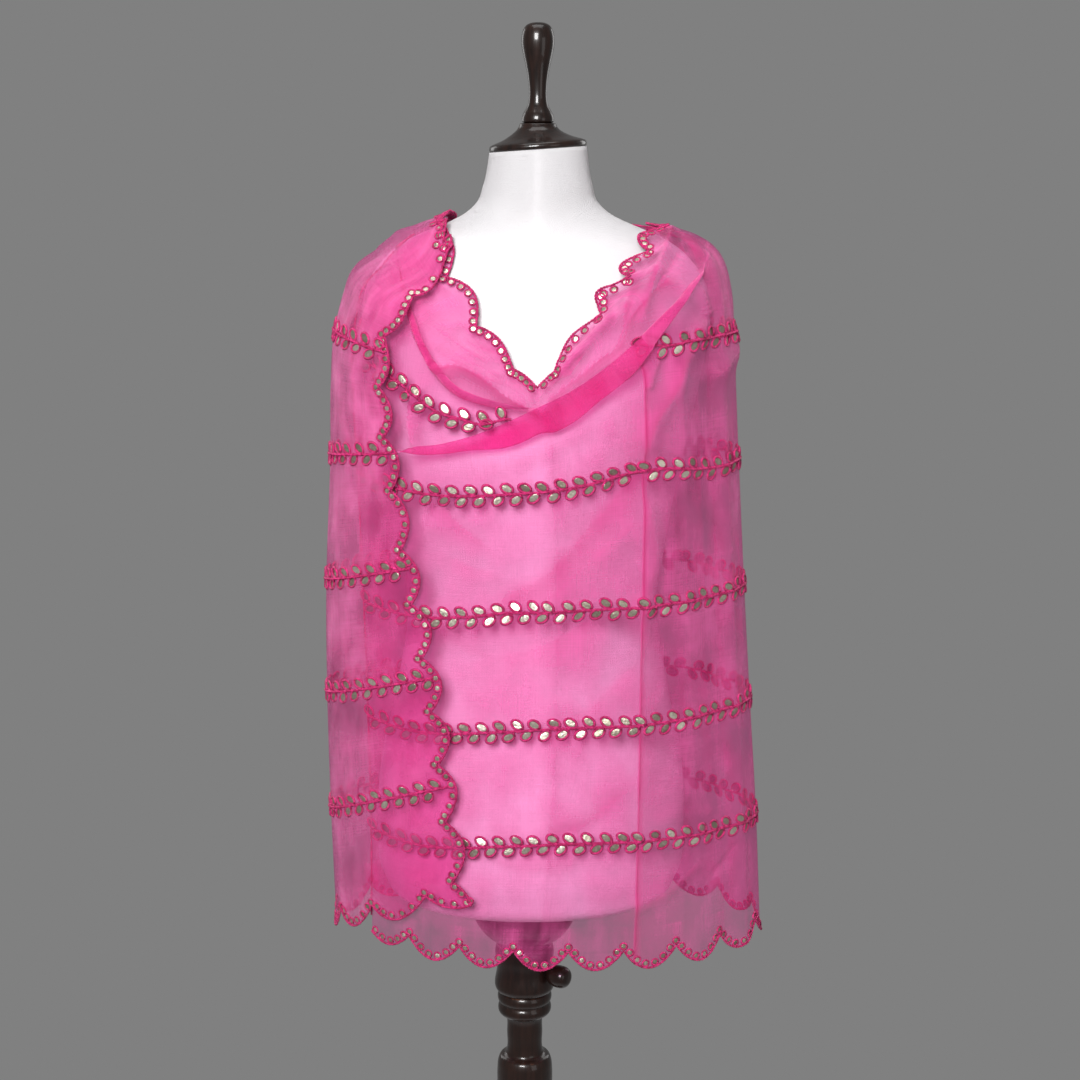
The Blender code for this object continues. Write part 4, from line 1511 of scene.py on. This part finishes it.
@dataclass(frozen=True)
class Stole:
    """The cloth, one shell for each stretch, and the embroidery on each."""

    drape: Drape
    organza: bpy.types.Material
    thread: bpy.types.Material
    mirror: bpy.types.Material
    columns_each: int = 24
    hem_rows: tuple[float, float] = (0.06, 0.0022)
    swag_rows: tuple[float, float, float] = (0.72, 0.96, 0.0017)
    coarse_row: float = 0.0042
    top_rows: int = 19
    vine_levels: tuple[float, ...] = (1 / 6, 2 / 6, 3 / 6, 4 / 6, 5 / 6)
    top_vine_sag: float = 0.028
    sag_from: Ramp = Ramp(0.9, 0.9)
    sag_to: Ramp = Ramp(3.0, -0.8)
    cord_radius: float = 0.0008
    ring_radius: float = 0.00105
    ring_seat: float = 0.6
    ply_seat: float = 1.4
    plate_corners: int = 12
    plate_shares: tuple[float, ...] = (1.0, 0.93, 0.85)
    plate_heights: tuple[float, ...] = (0.00010, 0.00042, 0.00046)
    plate_gap: float = 0.0002
    round_mirror: float = 0.0027
    mirror_inset: float = 0.0043
    notch_inset: float = 0.0062
    mirrors_each: int = 7
    leaf_half: tuple[float, float] = (0.0054, 0.0035)
    leaf_pitch: float = 0.0176
    leaf_reach: tuple[float, float] = (0.0050, 0.0056)
    leaf_lean: float = math.radians(33.0)
    leaf_ring: float = 0.00135
    stem_radius: float = 0.00095
    twist_pitch: float = 0.0060

    def span(self, stretch: Stretch) -> tuple[float, float]:
        """Tell where a stretch begins and ends.

        Args:
            stretch: The stretch.

        Returns:
            Its first and last count of scallops.
        """
        d = self.drape
        return {Stretch.FRONT: (0.0, d.crease), Stretch.RIGHT: (d.crease, 10.5),
                Stretch.BACK: (10.5, 15.5), Stretch.LEFT: (15.5, d.end_from),
                Stretch.END: (d.end_from, d.last)}[stretch]

    def rows(self, stretch: Stretch) -> Array:
        """Space the rows of a stretch's grid, closest at its edges and over the swags.

        Args:
            stretch: The stretch.

        Returns:
            The rows, rising.
        """
        hem_to, hem_step = self.hem_rows
        swags_from, swags_to, fine_row = self.swag_rows
        step = fine_row if stretch in (Stretch.FRONT, Stretch.RIGHT) else self.coarse_row
        return np.concatenate([np.arange(0.0, hem_to, hem_step),
                               np.arange(hem_to, swags_from, self.coarse_row),
                               np.arange(swags_from, swags_to, step),
                               np.linspace(swags_to, 1.0, self.top_rows)])

    def cloth(self, stretch: Stretch) -> bpy.types.Object:
        """Make one stretch: the drape on a grid of counts of scallops by rows.

        The crowd attribute is flat area over hung area, so that bunched cloth covers more.

        Args:
            stretch: The stretch.

        Returns:
            The cloth.
        """
        first, last = self.span(stretch)
        phase = np.linspace(first, last, int((last - first) * self.columns_each) + 2)
        row = self.rows(stretch)
        phase, row = np.meshgrid(phase, row)
        points = self.drape.at(phase, row)
        up = self.drape.level(phase, row)
        flat = np.stack([phase * self.drape.pitch, up * self.drape.width], axis=-1)
        # gather: bunching, with painted shade along folds, waves and the crease, that deepens the
        # organza's pink.
        gather = self.drape.gather(self.drape.turn(phase, row, up), up)
        along = np.gradient(points, axis=1) / np.gradient(flat[..., 0], axis=1)[..., None]
        across = np.gradient(points, axis=0) / np.gradient(row[:, 0])[:, None, None]
        area = np.linalg.norm(np.cross(along, across), axis=-1) / self.drape.width
        crowd = np.clip(1.0 / np.maximum(area, 0.1), 0.75, 3.5)
        return add_piece(f"organza_{stretch.value}", points.reshape(-1, 3),
                         [grid_faces(*phase.shape)], self.organza, flat.reshape(-1, 2),
                         gather=gather.ravel(), crowd=crowd.ravel())

    def plate(self, batch: Batch, at: Frame, half: tuple[float, float], turn: Array,
              tilt: Array) -> None:
        """Add mirrors: flat plates with a bevelled rim, half cos a across and half sin a up.

        Args:
            batch: Where they go.
            at: Their places.
            half: Their two half widths.
            turn: How far each is turned on the cloth, in radians.
            tilt: Its two slopes against the cloth, (n, 2).
        """
        count = self.plate_corners
        ring = np.arange(count)
        angle = ring * (2.0 * math.pi / count)
        shares = np.array(self.plate_shares)[:, None]
        x = np.append(half[0] * shares * np.cos(angle), 0.0)
        y = np.append(half[1] * shares * np.sin(angle), 0.0)
        z = np.append(np.repeat(self.plate_heights, count), self.plate_heights[-1])
        side, up = turned(x, y, turn)
        out = z + self.plate_gap + side * tilt[:, :1] + up * tilt[:, 1:]
        points = (at.point[:, None] + at.side[:, None] * side[..., None]
                  + at.up[:, None] * up[..., None] + at.normal[:, None] * out[..., None])
        after = (ring + 1) % count
        fan = np.stack([ring + 2 * count, after + 2 * count, np.full(count, 3 * count)], axis=-1)
        flat = np.stack([side + self.mirror_marks(len(turn)), up], axis=-1)
        batch.add(points, [grid_faces(3, count, False, True), fan], flat)

    @staticmethod
    def mirror_marks(count: int) -> Array:
        """Draw a whole number for each mirror, so that its tone differs from the next one's."""
        return np.random.default_rng(SEED + count).integers(0, 60, count)[:, None].astype(float)

    def ring(self, batch: Batch, at: Frame, half: tuple[float, float], turn: Array,
             radius: float) -> None:
        """Add thread rings round mirrors, laid on the cloth along half cos a, half sin a.

        Args:
            batch: Where they go.
            at: Their places.
            half: The mirrors' two half widths.
            turn: How far each is turned on the cloth, in radians.
            radius: The thread's radius.
        """
        angle = np.arange(14) * (math.pi / 7.0)
        side, up = turned((half[0] + radius * self.ring_seat) * np.cos(angle),
                          (half[1] + radius * self.ring_seat) * np.sin(angle), turn)
        outward = unit(at.side[:, None] * side[..., None] + at.up[:, None] * up[..., None])
        normal = np.broadcast_to(at.normal[:, None], outward.shape)
        path = (at.point[:, None] + at.side[:, None] * side[..., None]
                + at.up[:, None] * up[..., None] + normal * (radius * self.ring_seat))
        sweep(batch, path, outward, normal, radius, 4, True)

    def cord(self, batch: Batch, at: Frame, radius: float) -> None:
        """Add two plies twisted round a line on the cloth: the line plus a helix.

        Args:
            batch: Where they go.
            at: The line's places.
            radius: The radius of a ply and of its helix.
        """
        path = at.point
        steps = np.linalg.norm(np.diff(path, axis=0, prepend=path[:1]), axis=-1)
        length = np.cumsum(steps)
        along = unit(np.gradient(path, axis=0))
        side = unit(np.cross(at.normal, along))
        for start in (0.0, math.pi):
            angle = (length / self.twist_pitch * 2.0 * math.pi + start)[:, None]
            line = (path + side * (np.cos(angle) * radius)
                    + at.normal * (np.sin(angle) * radius + radius * self.ply_seat))
            sweep(batch, line[None], side[None], at.normal[None], radius, 4, False)

    def lobe_places(self, depth: float) -> Array:
        """Space the mirrors over one scallop evenly along its inset arc.

        Args:
            depth: How deep the scallop is.

        Returns:
            Their places as shares of the scallop.
        """
        t = np.linspace(0.0, 1.0, 401)
        x = t * self.drape.pitch
        y = depth * (1.0 - self.drape.lobe(t))
        slope = np.gradient(y, x)
        size = np.sqrt(1.0 + slope ** 2)
        x_in = x - slope / size * self.mirror_inset
        y_in = y + self.mirror_inset / size
        keep = (x_in > 0.0) & (x_in < self.drape.pitch)
        x_in, y_in, t = x_in[keep], y_in[keep], t[keep]
        x_in = np.concatenate([[0.0], x_in, [self.drape.pitch]])
        y_in = np.concatenate([[depth + self.notch_inset], y_in, [depth + self.notch_inset]])
        t = np.concatenate([[t[0]], t, [t[-1]]])
        arc = np.concatenate([[0.0], np.cumsum(np.hypot(np.diff(x_in), np.diff(y_in)))])
        wanted = np.arange(1, self.mirrors_each) / self.mirrors_each * arc[-1]
        return np.interp(wanted, arc, t)

    def trim_mirrors(self, places: Array, first: float, last: float) -> tuple[Array, Array]:
        """Place the mirrors of an edge.

        Args:
            places: Their places over one scallop.
            first: The edge's first count of scallops.
            last: Its last count.

        Returns:
            Each mirror's count along the edge, and whether it sits at a notch.
        """
        whole = np.arange(math.floor(first), math.ceil(last) + 1)
        between = (whole[:, None] + places).ravel()
        counts = np.concatenate([whole.astype(float), between])
        notch = np.concatenate([np.ones(len(whole), bool), np.zeros(len(between), bool)])
        keep = (counts > first + 0.03) & (counts <= last + 0.03)
        return counts[keep], notch[keep]

    def edge_frames(self, edge: Callable[[Array], tuple[Array, Array]], counts: Array,
                    inward: float, depth: Array) -> Frame:
        """Frames at a distance in from an edge.

        Args:
            edge: Phase and row of the edge at a count of scallops along it.
            counts: The counts.
            inward: 1 where the cloth lies to the left of the edge's way, or -1.
            depth: Distance in from the edge at each count.

        Returns:
            The frames of the inset places.
        """
        at = self.drape.frame(*edge(counts))
        ahead = self.drape.at(*edge(counts + 0.01))
        behind = self.drape.at(*edge(counts - 0.01))
        way = unit(ahead - behind)
        into = np.cross(at.normal, way) * inward
        side = np.sum(into * at.side, axis=-1) * depth
        up = np.sum(into * at.up, axis=-1) * depth
        return self.drape.frame(*at.step(side, up))

    def edges(self, stretch: Stretch) -> list[tuple[Callable, float, float, float, float]]:
        """List the scalloped edges of a stretch.

        Args:
            stretch: The stretch.

        Returns:
            Each edge's line, first and last count, inward side and depth of scallops.
        """
        first, last = self.span(stretch)
        share = self.drape.lobe_share * self.drape.width
        zero = np.zeros_like
        ahead = self.drape.lobe_shift
        found = [(lambda t: (t - ahead, zero(t)), first + ahead, last + ahead, 1.0, share),
                 (lambda t: (t - ahead, zero(t) + 1.0), first + ahead, last + ahead, -1.0,
                  share * self.drape.top_lobe)]
        if stretch is Stretch.END:
            count, shift = self.drape.end_lobes, self.drape.end_lobe_shift
            found.append((lambda t: (zero(t) + self.drape.last, (t - shift) / count), shift,
                          shift + count, 1.0, share))
        return found

    def embroidery(self, stretch: Stretch) -> list[bpy.types.Object]:
        """Sew edge cords, round mirrors, vines and their leaves on one stretch.

        Args:
            stretch: The stretch.

        Returns:
            Its threads and its mirrors.
        """
        rng = np.random.default_rng(SEED + list(Stretch).index(stretch))
        threads = Batch()
        mirrors = Batch()
        for edge, first, last, inward, depth in self.edges(stretch):
            counts = np.linspace(first, last, int((last - first) * 30) + 2)
            line = self.drape.frame(*edge(counts))
            self.cord(threads, line, self.cord_radius)
            counts, notch = self.trim_mirrors(self.lobe_places(depth), first, last)
            inset = np.where(notch, self.notch_inset, self.mirror_inset)
            at = self.edge_frames(edge, counts, inward, inset)
            self.mirror_set(threads, mirrors, at, (self.round_mirror, self.round_mirror),
                            np.zeros(len(counts)), self.ring_radius, rng)
        if stretch is Stretch.FRONT:
            rows = np.linspace(0.03, 0.97, 260)
            self.cord(threads, self.drape.frame(np.zeros_like(rows), rows), self.cord_radius)
        for level in self.vine_levels:
            self.vine(threads, mirrors, stretch, level, rng)
        return [threads.piece(f"threads_{stretch.value}", self.thread),
                mirrors.piece(f"mirrors_{stretch.value}", self.mirror)]

    def mirror_set(self, threads: Batch, mirrors: Batch, at: Frame, half: tuple[float, float],
                   turn: Array, ring: float, rng: np.random.Generator) -> None:
        """Add mirrors with their thread rings.

        Args:
            threads: Where the rings go.
            mirrors: Where the mirrors go.
            at: Their places.
            half: Their two half widths.
            turn: How far each is turned on the cloth, in radians.
            ring: The radius of the rings' thread.
            rng: Draws how each mirror leans.
        """
        tilt = rng.normal(0.0, 0.10, (len(turn), 2))
        self.plate(mirrors, at, half, turn, tilt)
        self.ring(threads, at, half, turn, ring)

    def vine_row(self, phase: Array, level: float) -> Array:
        """Lay a stem's rows: level round the cloth, but the top one sags beside the V."""
        stray = self.sag_from.at(phase) * self.sag_to.at(phase)
        return level - self.top_vine_sag * stray * (level == max(self.vine_levels))

    def vine(self, threads: Batch, mirrors: Batch, stretch: Stretch, level: float,
             rng: np.random.Generator) -> None:
        """Add a twisted stem at a level, with leaves above and below in turn.

        Nothing is sewn where a swag's other layers would hide it.

        Args:
            threads: Where the stem and the leaves' rings go.
            mirrors: Where the leaves go.
            stretch: The stretch.
            level: The stem's level.
            rng: Draws the small differences between the leaves.
        """
        first, last = self.span(stretch)
        if stretch is Stretch.END:
            last = last - 0.10
        phase = np.linspace(first, last, int((last - first) * 34) + 2)
        stem = self.drape.frame(phase, self.vine_row(phase, level))
        shown = ~self.drape.tucked(phase, stem.row)
        for run in np.split(np.arange(len(phase)), np.flatnonzero(np.diff(shown)) + 1):
            if shown[run[0]] and len(run) > 3:
                self.cord(threads, stem.part(run), self.stem_radius)
        metres = np.cumsum(np.linalg.norm(np.diff(stem.point, axis=0, prepend=stem.point[:1]),
                                          axis=-1))
        for which, above in ((0.0, 1.0), (0.5, -1.0)):
            wanted = np.arange(which + 0.3, metres[-1] / self.leaf_pitch, 1.0) * self.leaf_pitch
            places = np.interp(wanted, metres, phase)
            places = places[~self.drape.tucked(places, self.vine_row(places, level))]
            if not len(places):
                continue
            at = self.drape.frame(places, self.vine_row(places, level))
            jitter = rng.normal(0.0, 0.0004, (2, len(places)))
            side = -self.leaf_reach[0] + jitter[0]
            up = above * (self.leaf_reach[1] + jitter[1])
            at = self.drape.frame(*at.step(side, up))
            lean = -above * self.leaf_lean + rng.normal(0.0, 0.10, len(places))
            self.mirror_set(threads, mirrors, at, self.leaf_half, lean, self.leaf_ring, rng)

    def build(self) -> None:
        for stretch in Stretch:
            cloth = self.cloth(stretch)
            trims = self.embroidery(stretch)
            first, last = self.span(stretch)
            for item in (cloth, *trims):
                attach(item, "form")
            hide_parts(f"stole_{stretch.value}")
            log.info("stretch %s dressed", stretch.value)


# The form and the stand

@dataclass(frozen=True)
class Turning:
    """A piece turned on a lathe: smooth runs of (radius, z) that meet at corners.

    The runs go up the outside. Each corner gets a small round of its own.
    """

    name: str
    node: str
    body: str
    runs: tuple[tuple[tuple[float, float], ...], ...]
    slot: str = "walnut"
    sides: int = 64
    spacing: float = 0.0012
    bevel: float = 0.0006

    def outline(self) -> tuple[Array, Array]:
        """Join the runs into one profile, with a small bevel at each corner.

        Returns:
            The points, and how proud the wood is at each, from 0 to 1.
        """
        parts = [smooth_path(run, self.spacing) for run in self.runs]
        points = [parts[0][0]]
        for k, part in enumerate(parts):
            before, after = part[0], part[-1]
            inner = part[1:-1]
            head = before + unit(part[1] - before) * self.bevel
            tail = after + unit(part[-2] - after) * self.bevel
            if k:
                points.append(head)
            points.extend(inner)
            points.append(tail if k < len(parts) - 1 else after)
        profile = np.array(points)
        before = unit(np.diff(profile, axis=0, prepend=profile[:1] * 2 - profile[1:2]))
        after = unit(np.diff(profile, axis=0, append=profile[-1:] * 2 - profile[-2:-1]))
        bend = before[:, 0] * after[:, 1] - before[:, 1] * after[:, 0]
        proud = np.clip(bend * 2.2, 0.0, 1.0)
        soft = np.convolve(np.pad(proud, 2, mode="edge"), np.ones(5) / 5.0, mode="valid")
        return profile, np.maximum(soft, proud * 0.8)

    def build(self, material: bpy.types.Material,
              place: Callable[[Array], Array] = lambda points: points) -> bpy.types.Object:
        """Turn the profile round Z and put the piece on its body.

        Args:
            material: Its material.
            place: Moves the turned points to where the piece stands.

        Returns:
            The piece.
        """
        profile, proud = self.outline()
        angle = np.arange(self.sides) * (2.0 * math.pi / self.sides)
        on_axis = profile[:, 0] < 1e-9
        loop = not on_axis[0]
        body = profile if loop else profile[1:-1]
        worn = proud if loop else proud[1:-1]
        radius = body[:, :1]
        points = np.stack([radius * np.cos(angle), radius * np.sin(angle),
                           np.broadcast_to(body[:, 1:], (len(body), self.sides))], axis=-1)
        faces = [grid_faces(len(body), self.sides, loop, True)]
        points = points.reshape(-1, 3)
        worn = np.repeat(worn, self.sides)
        if not loop:
            ends = np.array([[0.0, 0.0, profile[0, 1]], [0.0, 0.0, profile[-1, 1]]])
            points = np.concatenate([points, ends])
            worn = np.concatenate([worn, [0.0, 0.0]])
            faces += end_fans(len(body), self.sides)
        item = add_piece(self.name, place(points), faces, material, worn=worn)
        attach(item, self.body)
        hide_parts(self.node)
        return item


@dataclass(frozen=True)
class Stand:
    """Base, turned post, collar, clamp knob and pole."""

    walnut: bpy.types.Material
    steel: bpy.types.Material
    bore: float = 0.0129
    screw_height: float = 0.632
    screw_heading: float = math.radians(-35.0)

    def along_screw(self, points: Array) -> Array:
        """Lay points that were turned about Z along the clamp screw.

        Args:
            points: The points, (n, 3).

        Returns:
            The points, moved.
        """
        cosine, sine = math.cos(self.screw_heading), math.sin(self.screw_heading)
        out, across, up = points[:, 2], points[:, 1], -points[:, 0]
        return np.stack([out * cosine - across * sine, out * sine + across * cosine,
                         up + self.screw_height], axis=-1)

    def build(self) -> None:
        """Make the stand's pieces."""
        Turning("turned_base", "base", "stand", (
            ((0.0, 0.0), (0.178, 0.0)), ((0.178, 0.0), (0.180, 0.003), (0.180, 0.012),
                                         (0.1785, 0.018), (0.174, 0.0235)),
            ((0.174, 0.0235), (0.168, 0.0248), (0.140, 0.0285), (0.105, 0.0305), (0.077, 0.0325)),
            ((0.077, 0.0325), (0.072, 0.0350), (0.0665, 0.0400), (0.060, 0.0450)),
            ((0.060, 0.0450), (0.0, 0.0450))), sides=128, spacing=0.003).build(self.walnut)
        Turning("turned_post", "post", "stand", (
            ((0.0, 0.0453), (0.040, 0.0453)),
            ((0.040, 0.0453), (0.0422, 0.0500), (0.0420, 0.0560), (0.0380, 0.0635),
             (0.0310, 0.0690)),
            ((0.0310, 0.0690), (0.0270, 0.0745), (0.0240, 0.0850), (0.0218, 0.1050),
             (0.0205, 0.1450), (0.0225, 0.2100), (0.0255, 0.2900), (0.0280, 0.3800),
             (0.0292, 0.4600), (0.0298, 0.5000), (0.0296, 0.5160), (0.0284, 0.5260),
             (0.0260, 0.5310), (0.0222, 0.5330)),
            ((0.0222, 0.5330), (0.0200, 0.5350), (0.0191, 0.5390), (0.0190, 0.5580),
             (0.0193, 0.5740), (0.0205, 0.5785)),
            ((0.0205, 0.5785), (0.0252, 0.5800), (0.0278, 0.5830), (0.0285, 0.5868),
             (0.0278, 0.5905), (0.0262, 0.5932)),
            ((0.0262, 0.5932), (0.0278, 0.5950), (0.0289, 0.5985), (0.0286, 0.6025),
             (0.0268, 0.6062)),
            ((0.0268, 0.6062), (self.bore, 0.6062)), ((self.bore, 0.6062), (self.bore, 0.2800)),
            ((self.bore, 0.2800), (0.0, 0.2800))), spacing=0.0016).build(self.walnut)
        Turning("clamp_collar", "collar", "stand", (
            ((self.bore, 0.6065), (0.0280, 0.6065)),
            ((0.0280, 0.6065), (0.0294, 0.6078), (0.0295, 0.6330), (0.0294, 0.6585),
             (0.0286, 0.6597)),
            ((0.0286, 0.6597), (self.bore, 0.6597)),
            ((self.bore, 0.6597), (self.bore, 0.6065)))).build(self.walnut)
        Turning("turned_knob", "clamp_knob", "knob", (
            ((0.0, 0.0128), (0.0040, 0.0128)), ((0.0040, 0.0128), (0.0040, 0.0325)),
            ((0.0040, 0.0325), (0.0072, 0.0332), (0.0098, 0.0360), (0.0114, 0.0410),
             (0.0118, 0.0460), (0.0112, 0.0510), (0.0088, 0.0548), (0.0050, 0.0566),
             (0.0, 0.0570))), spacing=0.0008, bevel=0.0003, sides=48).build(
                 self.walnut, self.along_screw)
        Turning("sliding_pole", "pole", "mast", (
            ((0.0, 0.3000), (0.0125, 0.3000)), ((0.0125, 0.3000), (0.0125, 0.7095)),
            ((0.0125, 0.7095), (0.0, 0.7095))), slot="steel").build(self.steel)
        log.info("stand built")


@dataclass(frozen=True)
class DressForm:
    """Boss, padded torso with its neck, neck cap and finial."""

    drape: Drape
    walnut: bpy.types.Material
    linen: bpy.types.Material
    sides: int = 160
    levels: int = 190
    bore: float = 0.0129
    cap_top: float = 1.5138
    neck_rise: float = 0.068
    rise_from: float = 1.440
    rise_fade: float = 0.018
    foot_round: float = 0.010

    def slope(self, x: Array, z: Array) -> Array:
        """Tell how far the neck's cut top and the cap's underside rise to the viewer's right.

        Args:
            x: Places across.
            z: Their heights. The rise grows up the neck and fades out up the cap.

        Returns:
            The rise of each.
        """
        share = smooth_step((z - self.rise_from) / (self.drape.form_top - self.rise_from))
        return (self.neck_rise * (x - self.drape.form_head_x) * share
                * smooth_step((self.cap_top - z) / self.rise_fade))

    def torso(self) -> bpy.types.Object:
        """Make the torso: level superellipses from the table, with a flat foot and neck top.

        Returns:
            The torso.
        """
        d = self.drape
        z = d.form_bottom + (d.form_top - d.form_bottom) * np.linspace(0.0, 1.0, self.levels)
        in_round = 1.0 - np.clip((z - z[0]) / self.foot_round, 0.0, 1.0)
        rounded = self.foot_round * (1.0 - np.sqrt(1.0 - in_round ** 2))
        half_width, front, back = smooth_rows(FORM_SECTIONS, z)
        angle = np.arange(self.sides) * (2.0 * math.pi / self.sides)
        power = 2.0 / d.form_squareness
        across = np.sign(np.cos(angle)) * np.abs(np.cos(angle)) ** power
        along = np.sign(np.sin(angle)) * np.abs(np.sin(angle)) ** power
        depth = np.where(along > 0.0, (back - rounded * 0.2)[:, None],
                         (front - rounded * 0.2)[:, None])
        x = d.form_middle(z)[:, None] + (half_width - rounded * 0.2)[:, None] * across
        y = depth * along
        level = np.broadcast_to(z[:, None], x.shape)
        points = np.stack([x, y, level + self.slope(x, level)], axis=-1).reshape(-1, 3)
        ends = np.array([[d.form_foot_x, 0.0, d.form_bottom], [d.form_head_x, 0.0, d.form_top]])
        faces = [grid_faces(self.levels, self.sides, False, True),
                 *end_fans(self.levels, self.sides)]
        flat = np.stack([np.broadcast_to(angle * 0.13, x.shape), level], axis=-1).reshape(-1, 2)
        flat = np.concatenate([flat, [[0.0, 0.0], [0.0, 0.0]]])
        item = add_piece("form_body", np.concatenate([points, ends]), faces, self.linen, flat)
        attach(item, "form")
        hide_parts("torso")
        return item

    def on_neck(self, points: Array) -> Array:
        """Move points that were turned on the origin's axis onto the neck's sloping top.

        Args:
            points: The points, (n, 3).

        Returns:
            The points, moved.
        """
        moved = points + [self.drape.form_head_x, 0.0, 0.0]
        moved[:, 2] += self.slope(moved[:, 0], moved[:, 2])
        return moved

    def build(self) -> None:
        """Make the form's pieces."""
        self.torso()
        Turning("turned_boss", "boss", "form", (
            ((self.bore, 0.7098), (self.bore, 0.6600)), ((self.bore, 0.6600), (0.0262, 0.6600)),
            ((0.0262, 0.6600), (0.0300, 0.6625), (0.0350, 0.6670), (0.0420, 0.6730),
             (0.0475, 0.6795), (0.0520, 0.6870), (0.0550, 0.6960), (0.0563, 0.7060),
             (0.0562, 0.7177)),
            ((0.0562, 0.7177), (self.bore, 0.7177)),
            ((self.bore, 0.7177), (self.bore, 0.7098)))).build(self.walnut)
        Turning("turned_neck_cap", "neck_cap", "form", (
            ((0.0, 1.4888), (0.0464, 1.4888)),
            ((0.0464, 1.4888), (0.0476, 1.4898), (0.0479, 1.4920), (0.0470, 1.4942),
             (0.0440, 1.4958), (0.0400, 1.4972), (0.0340, 1.4994), (0.0285, 1.5022),
             (0.0240, 1.5050), (0.0205, 1.5080), (0.0185, 1.5110), (0.0178, 1.5132)),
            ((0.0178, 1.5132), (0.0150, 1.5138), (0.0, 1.5138)))).build(
                self.walnut, self.on_neck)
        Turning("turned_finial", "finial", "form", (
            ((0.0, 1.5141), (0.0146, 1.5141)),
            ((0.0146, 1.5141), (0.0155, 1.5152), (0.0157, 1.5185), (0.0148, 1.5220),
             (0.0125, 1.5262), (0.0103, 1.5305), (0.0092, 1.5350), (0.0087, 1.5410),
             (0.0091, 1.5500), (0.0104, 1.5600), (0.0124, 1.5700), (0.0145, 1.5790),
             (0.0158, 1.5860), (0.0162, 1.5910), (0.0158, 1.5965), (0.0145, 1.6015),
             (0.0118, 1.6058), (0.0075, 1.6082), (0.0, 1.6090)))).build(
                self.walnut, lambda points: points + [self.drape.form_head_x, 0.0, 0.0])
        log.info("form built")


# Studio

@dataclass(frozen=True)
class Lamp:
    """A soft box: its place, the point that it faces, its size and its strength."""

    name: str
    place: tuple[float, float, float]
    target: tuple[float, float, float]
    size: tuple[float, float]
    watts: float
    colour: Colour = (1.0, 1.0, 1.0)

    def build(self) -> None:
        """Make the lamp."""
        data = bpy.data.lights.new(self.name, "AREA")
        data.shape = "RECTANGLE"
        data.size, data.size_y = self.size
        data.energy = self.watts
        data.color = self.colour
        item = bpy.data.objects.new(self.name, data)
        item.location = self.place
        way = np.array(self.target) - np.array(self.place)
        flat = math.hypot(way[0], way[1])
        item.rotation_euler = (math.atan2(flat, -way[2]), 0.0,
                               math.atan2(way[1], way[0]) - math.pi / 2.0)
        bpy.context.scene.collection.objects.link(item)


@dataclass(frozen=True)
class Studio:
    """Camera, soft lamps, grey surround and pale floor."""

    floor: bpy.types.Material
    camera_place: tuple[float, float, float] = (0.0165, -1.9, 1.49)
    camera_dip: float = 11.66
    focal_pixels: float = 1900.0
    sensor: float = 36.0
    surround: float = 0.2159

    def build(self) -> None:
        """Make the studio."""
        scene = bpy.context.scene
        data = bpy.data.cameras.new("camera")
        data.sensor_width = self.sensor
        data.lens = self.focal_pixels / IMAGE_SIZE * self.sensor
        data.clip_start = 0.05
        camera = bpy.data.objects.new("camera", data)
        camera.location = self.camera_place
        camera.rotation_euler = (math.radians(90.0 - self.camera_dip), 0.0, 0.0)
        scene.collection.objects.link(camera)
        scene.camera = camera
        for lamp in (Lamp("key", (-0.5, -2.5, 2.3), (0.0, 0.0, 1.1), (1.0, 1.0), 124.0),
                     Lamp("fill", (1.7, -2.0, 1.3), (0.0, 0.0, 1.0), (1.0, 1.6), 7.0),
                     Lamp("top", (0.0, -0.2, 3.0), (0.0, 0.0, 1.0), (1.4, 1.0), 14.0),
                     Lamp("rim_left", (-1.6, 1.6, 1.7), (0.0, 0.0, 1.1), (0.8, 1.6), 9.0),
                     Lamp("rim_right", (1.6, 1.7, 1.7), (0.0, 0.0, 1.1), (0.8, 1.6), 9.0)):
            lamp.build()
        world = bpy.data.worlds.new("grey surround")
        world.use_nodes = True
        world.node_tree.nodes["Background"].inputs[0].default_value = (*[self.surround] * 3, 1.0)
        scene.world = world
        scene.view_settings.view_transform = "Standard"
        scene.cycles.transparent_max_bounces = 24
        angle = np.arange(96) * (2.0 * math.pi / 96)
        radii = np.array([0.3, 0.6, 0.9])[:, None]
        points = np.stack([radii * np.cos(angle), radii * np.sin(angle),
                           np.zeros((3, 96))], axis=-1).reshape(-1, 3)
        ring = np.arange(96)
        fan = np.stack([np.full(96, 288), ring, (ring + 1) % 96], axis=-1)
        points = np.concatenate([points, [[0.0, 0.0, 0.0]]]) - [0.0, 0.0, 0.0004]
        add_piece("floor", points, [grid_faces(3, 96, False, True)[:, ::-1], fan],
                           self.floor)
        log.info("studio built")


def main() -> None:
    """Build the studio, the stand, the form and the stole."""
    drape = Drape()
    walnut = Walnut().material()
    Studio(PaleFloor().material()).build()
    Stand(walnut, Steel().material()).build()
    DressForm(drape, walnut, Linen().material()).build()
    Stole(drape, Organza().material(), Thread().material(), Mirror().material()).build()


if __name__ == "__main__":
    main()
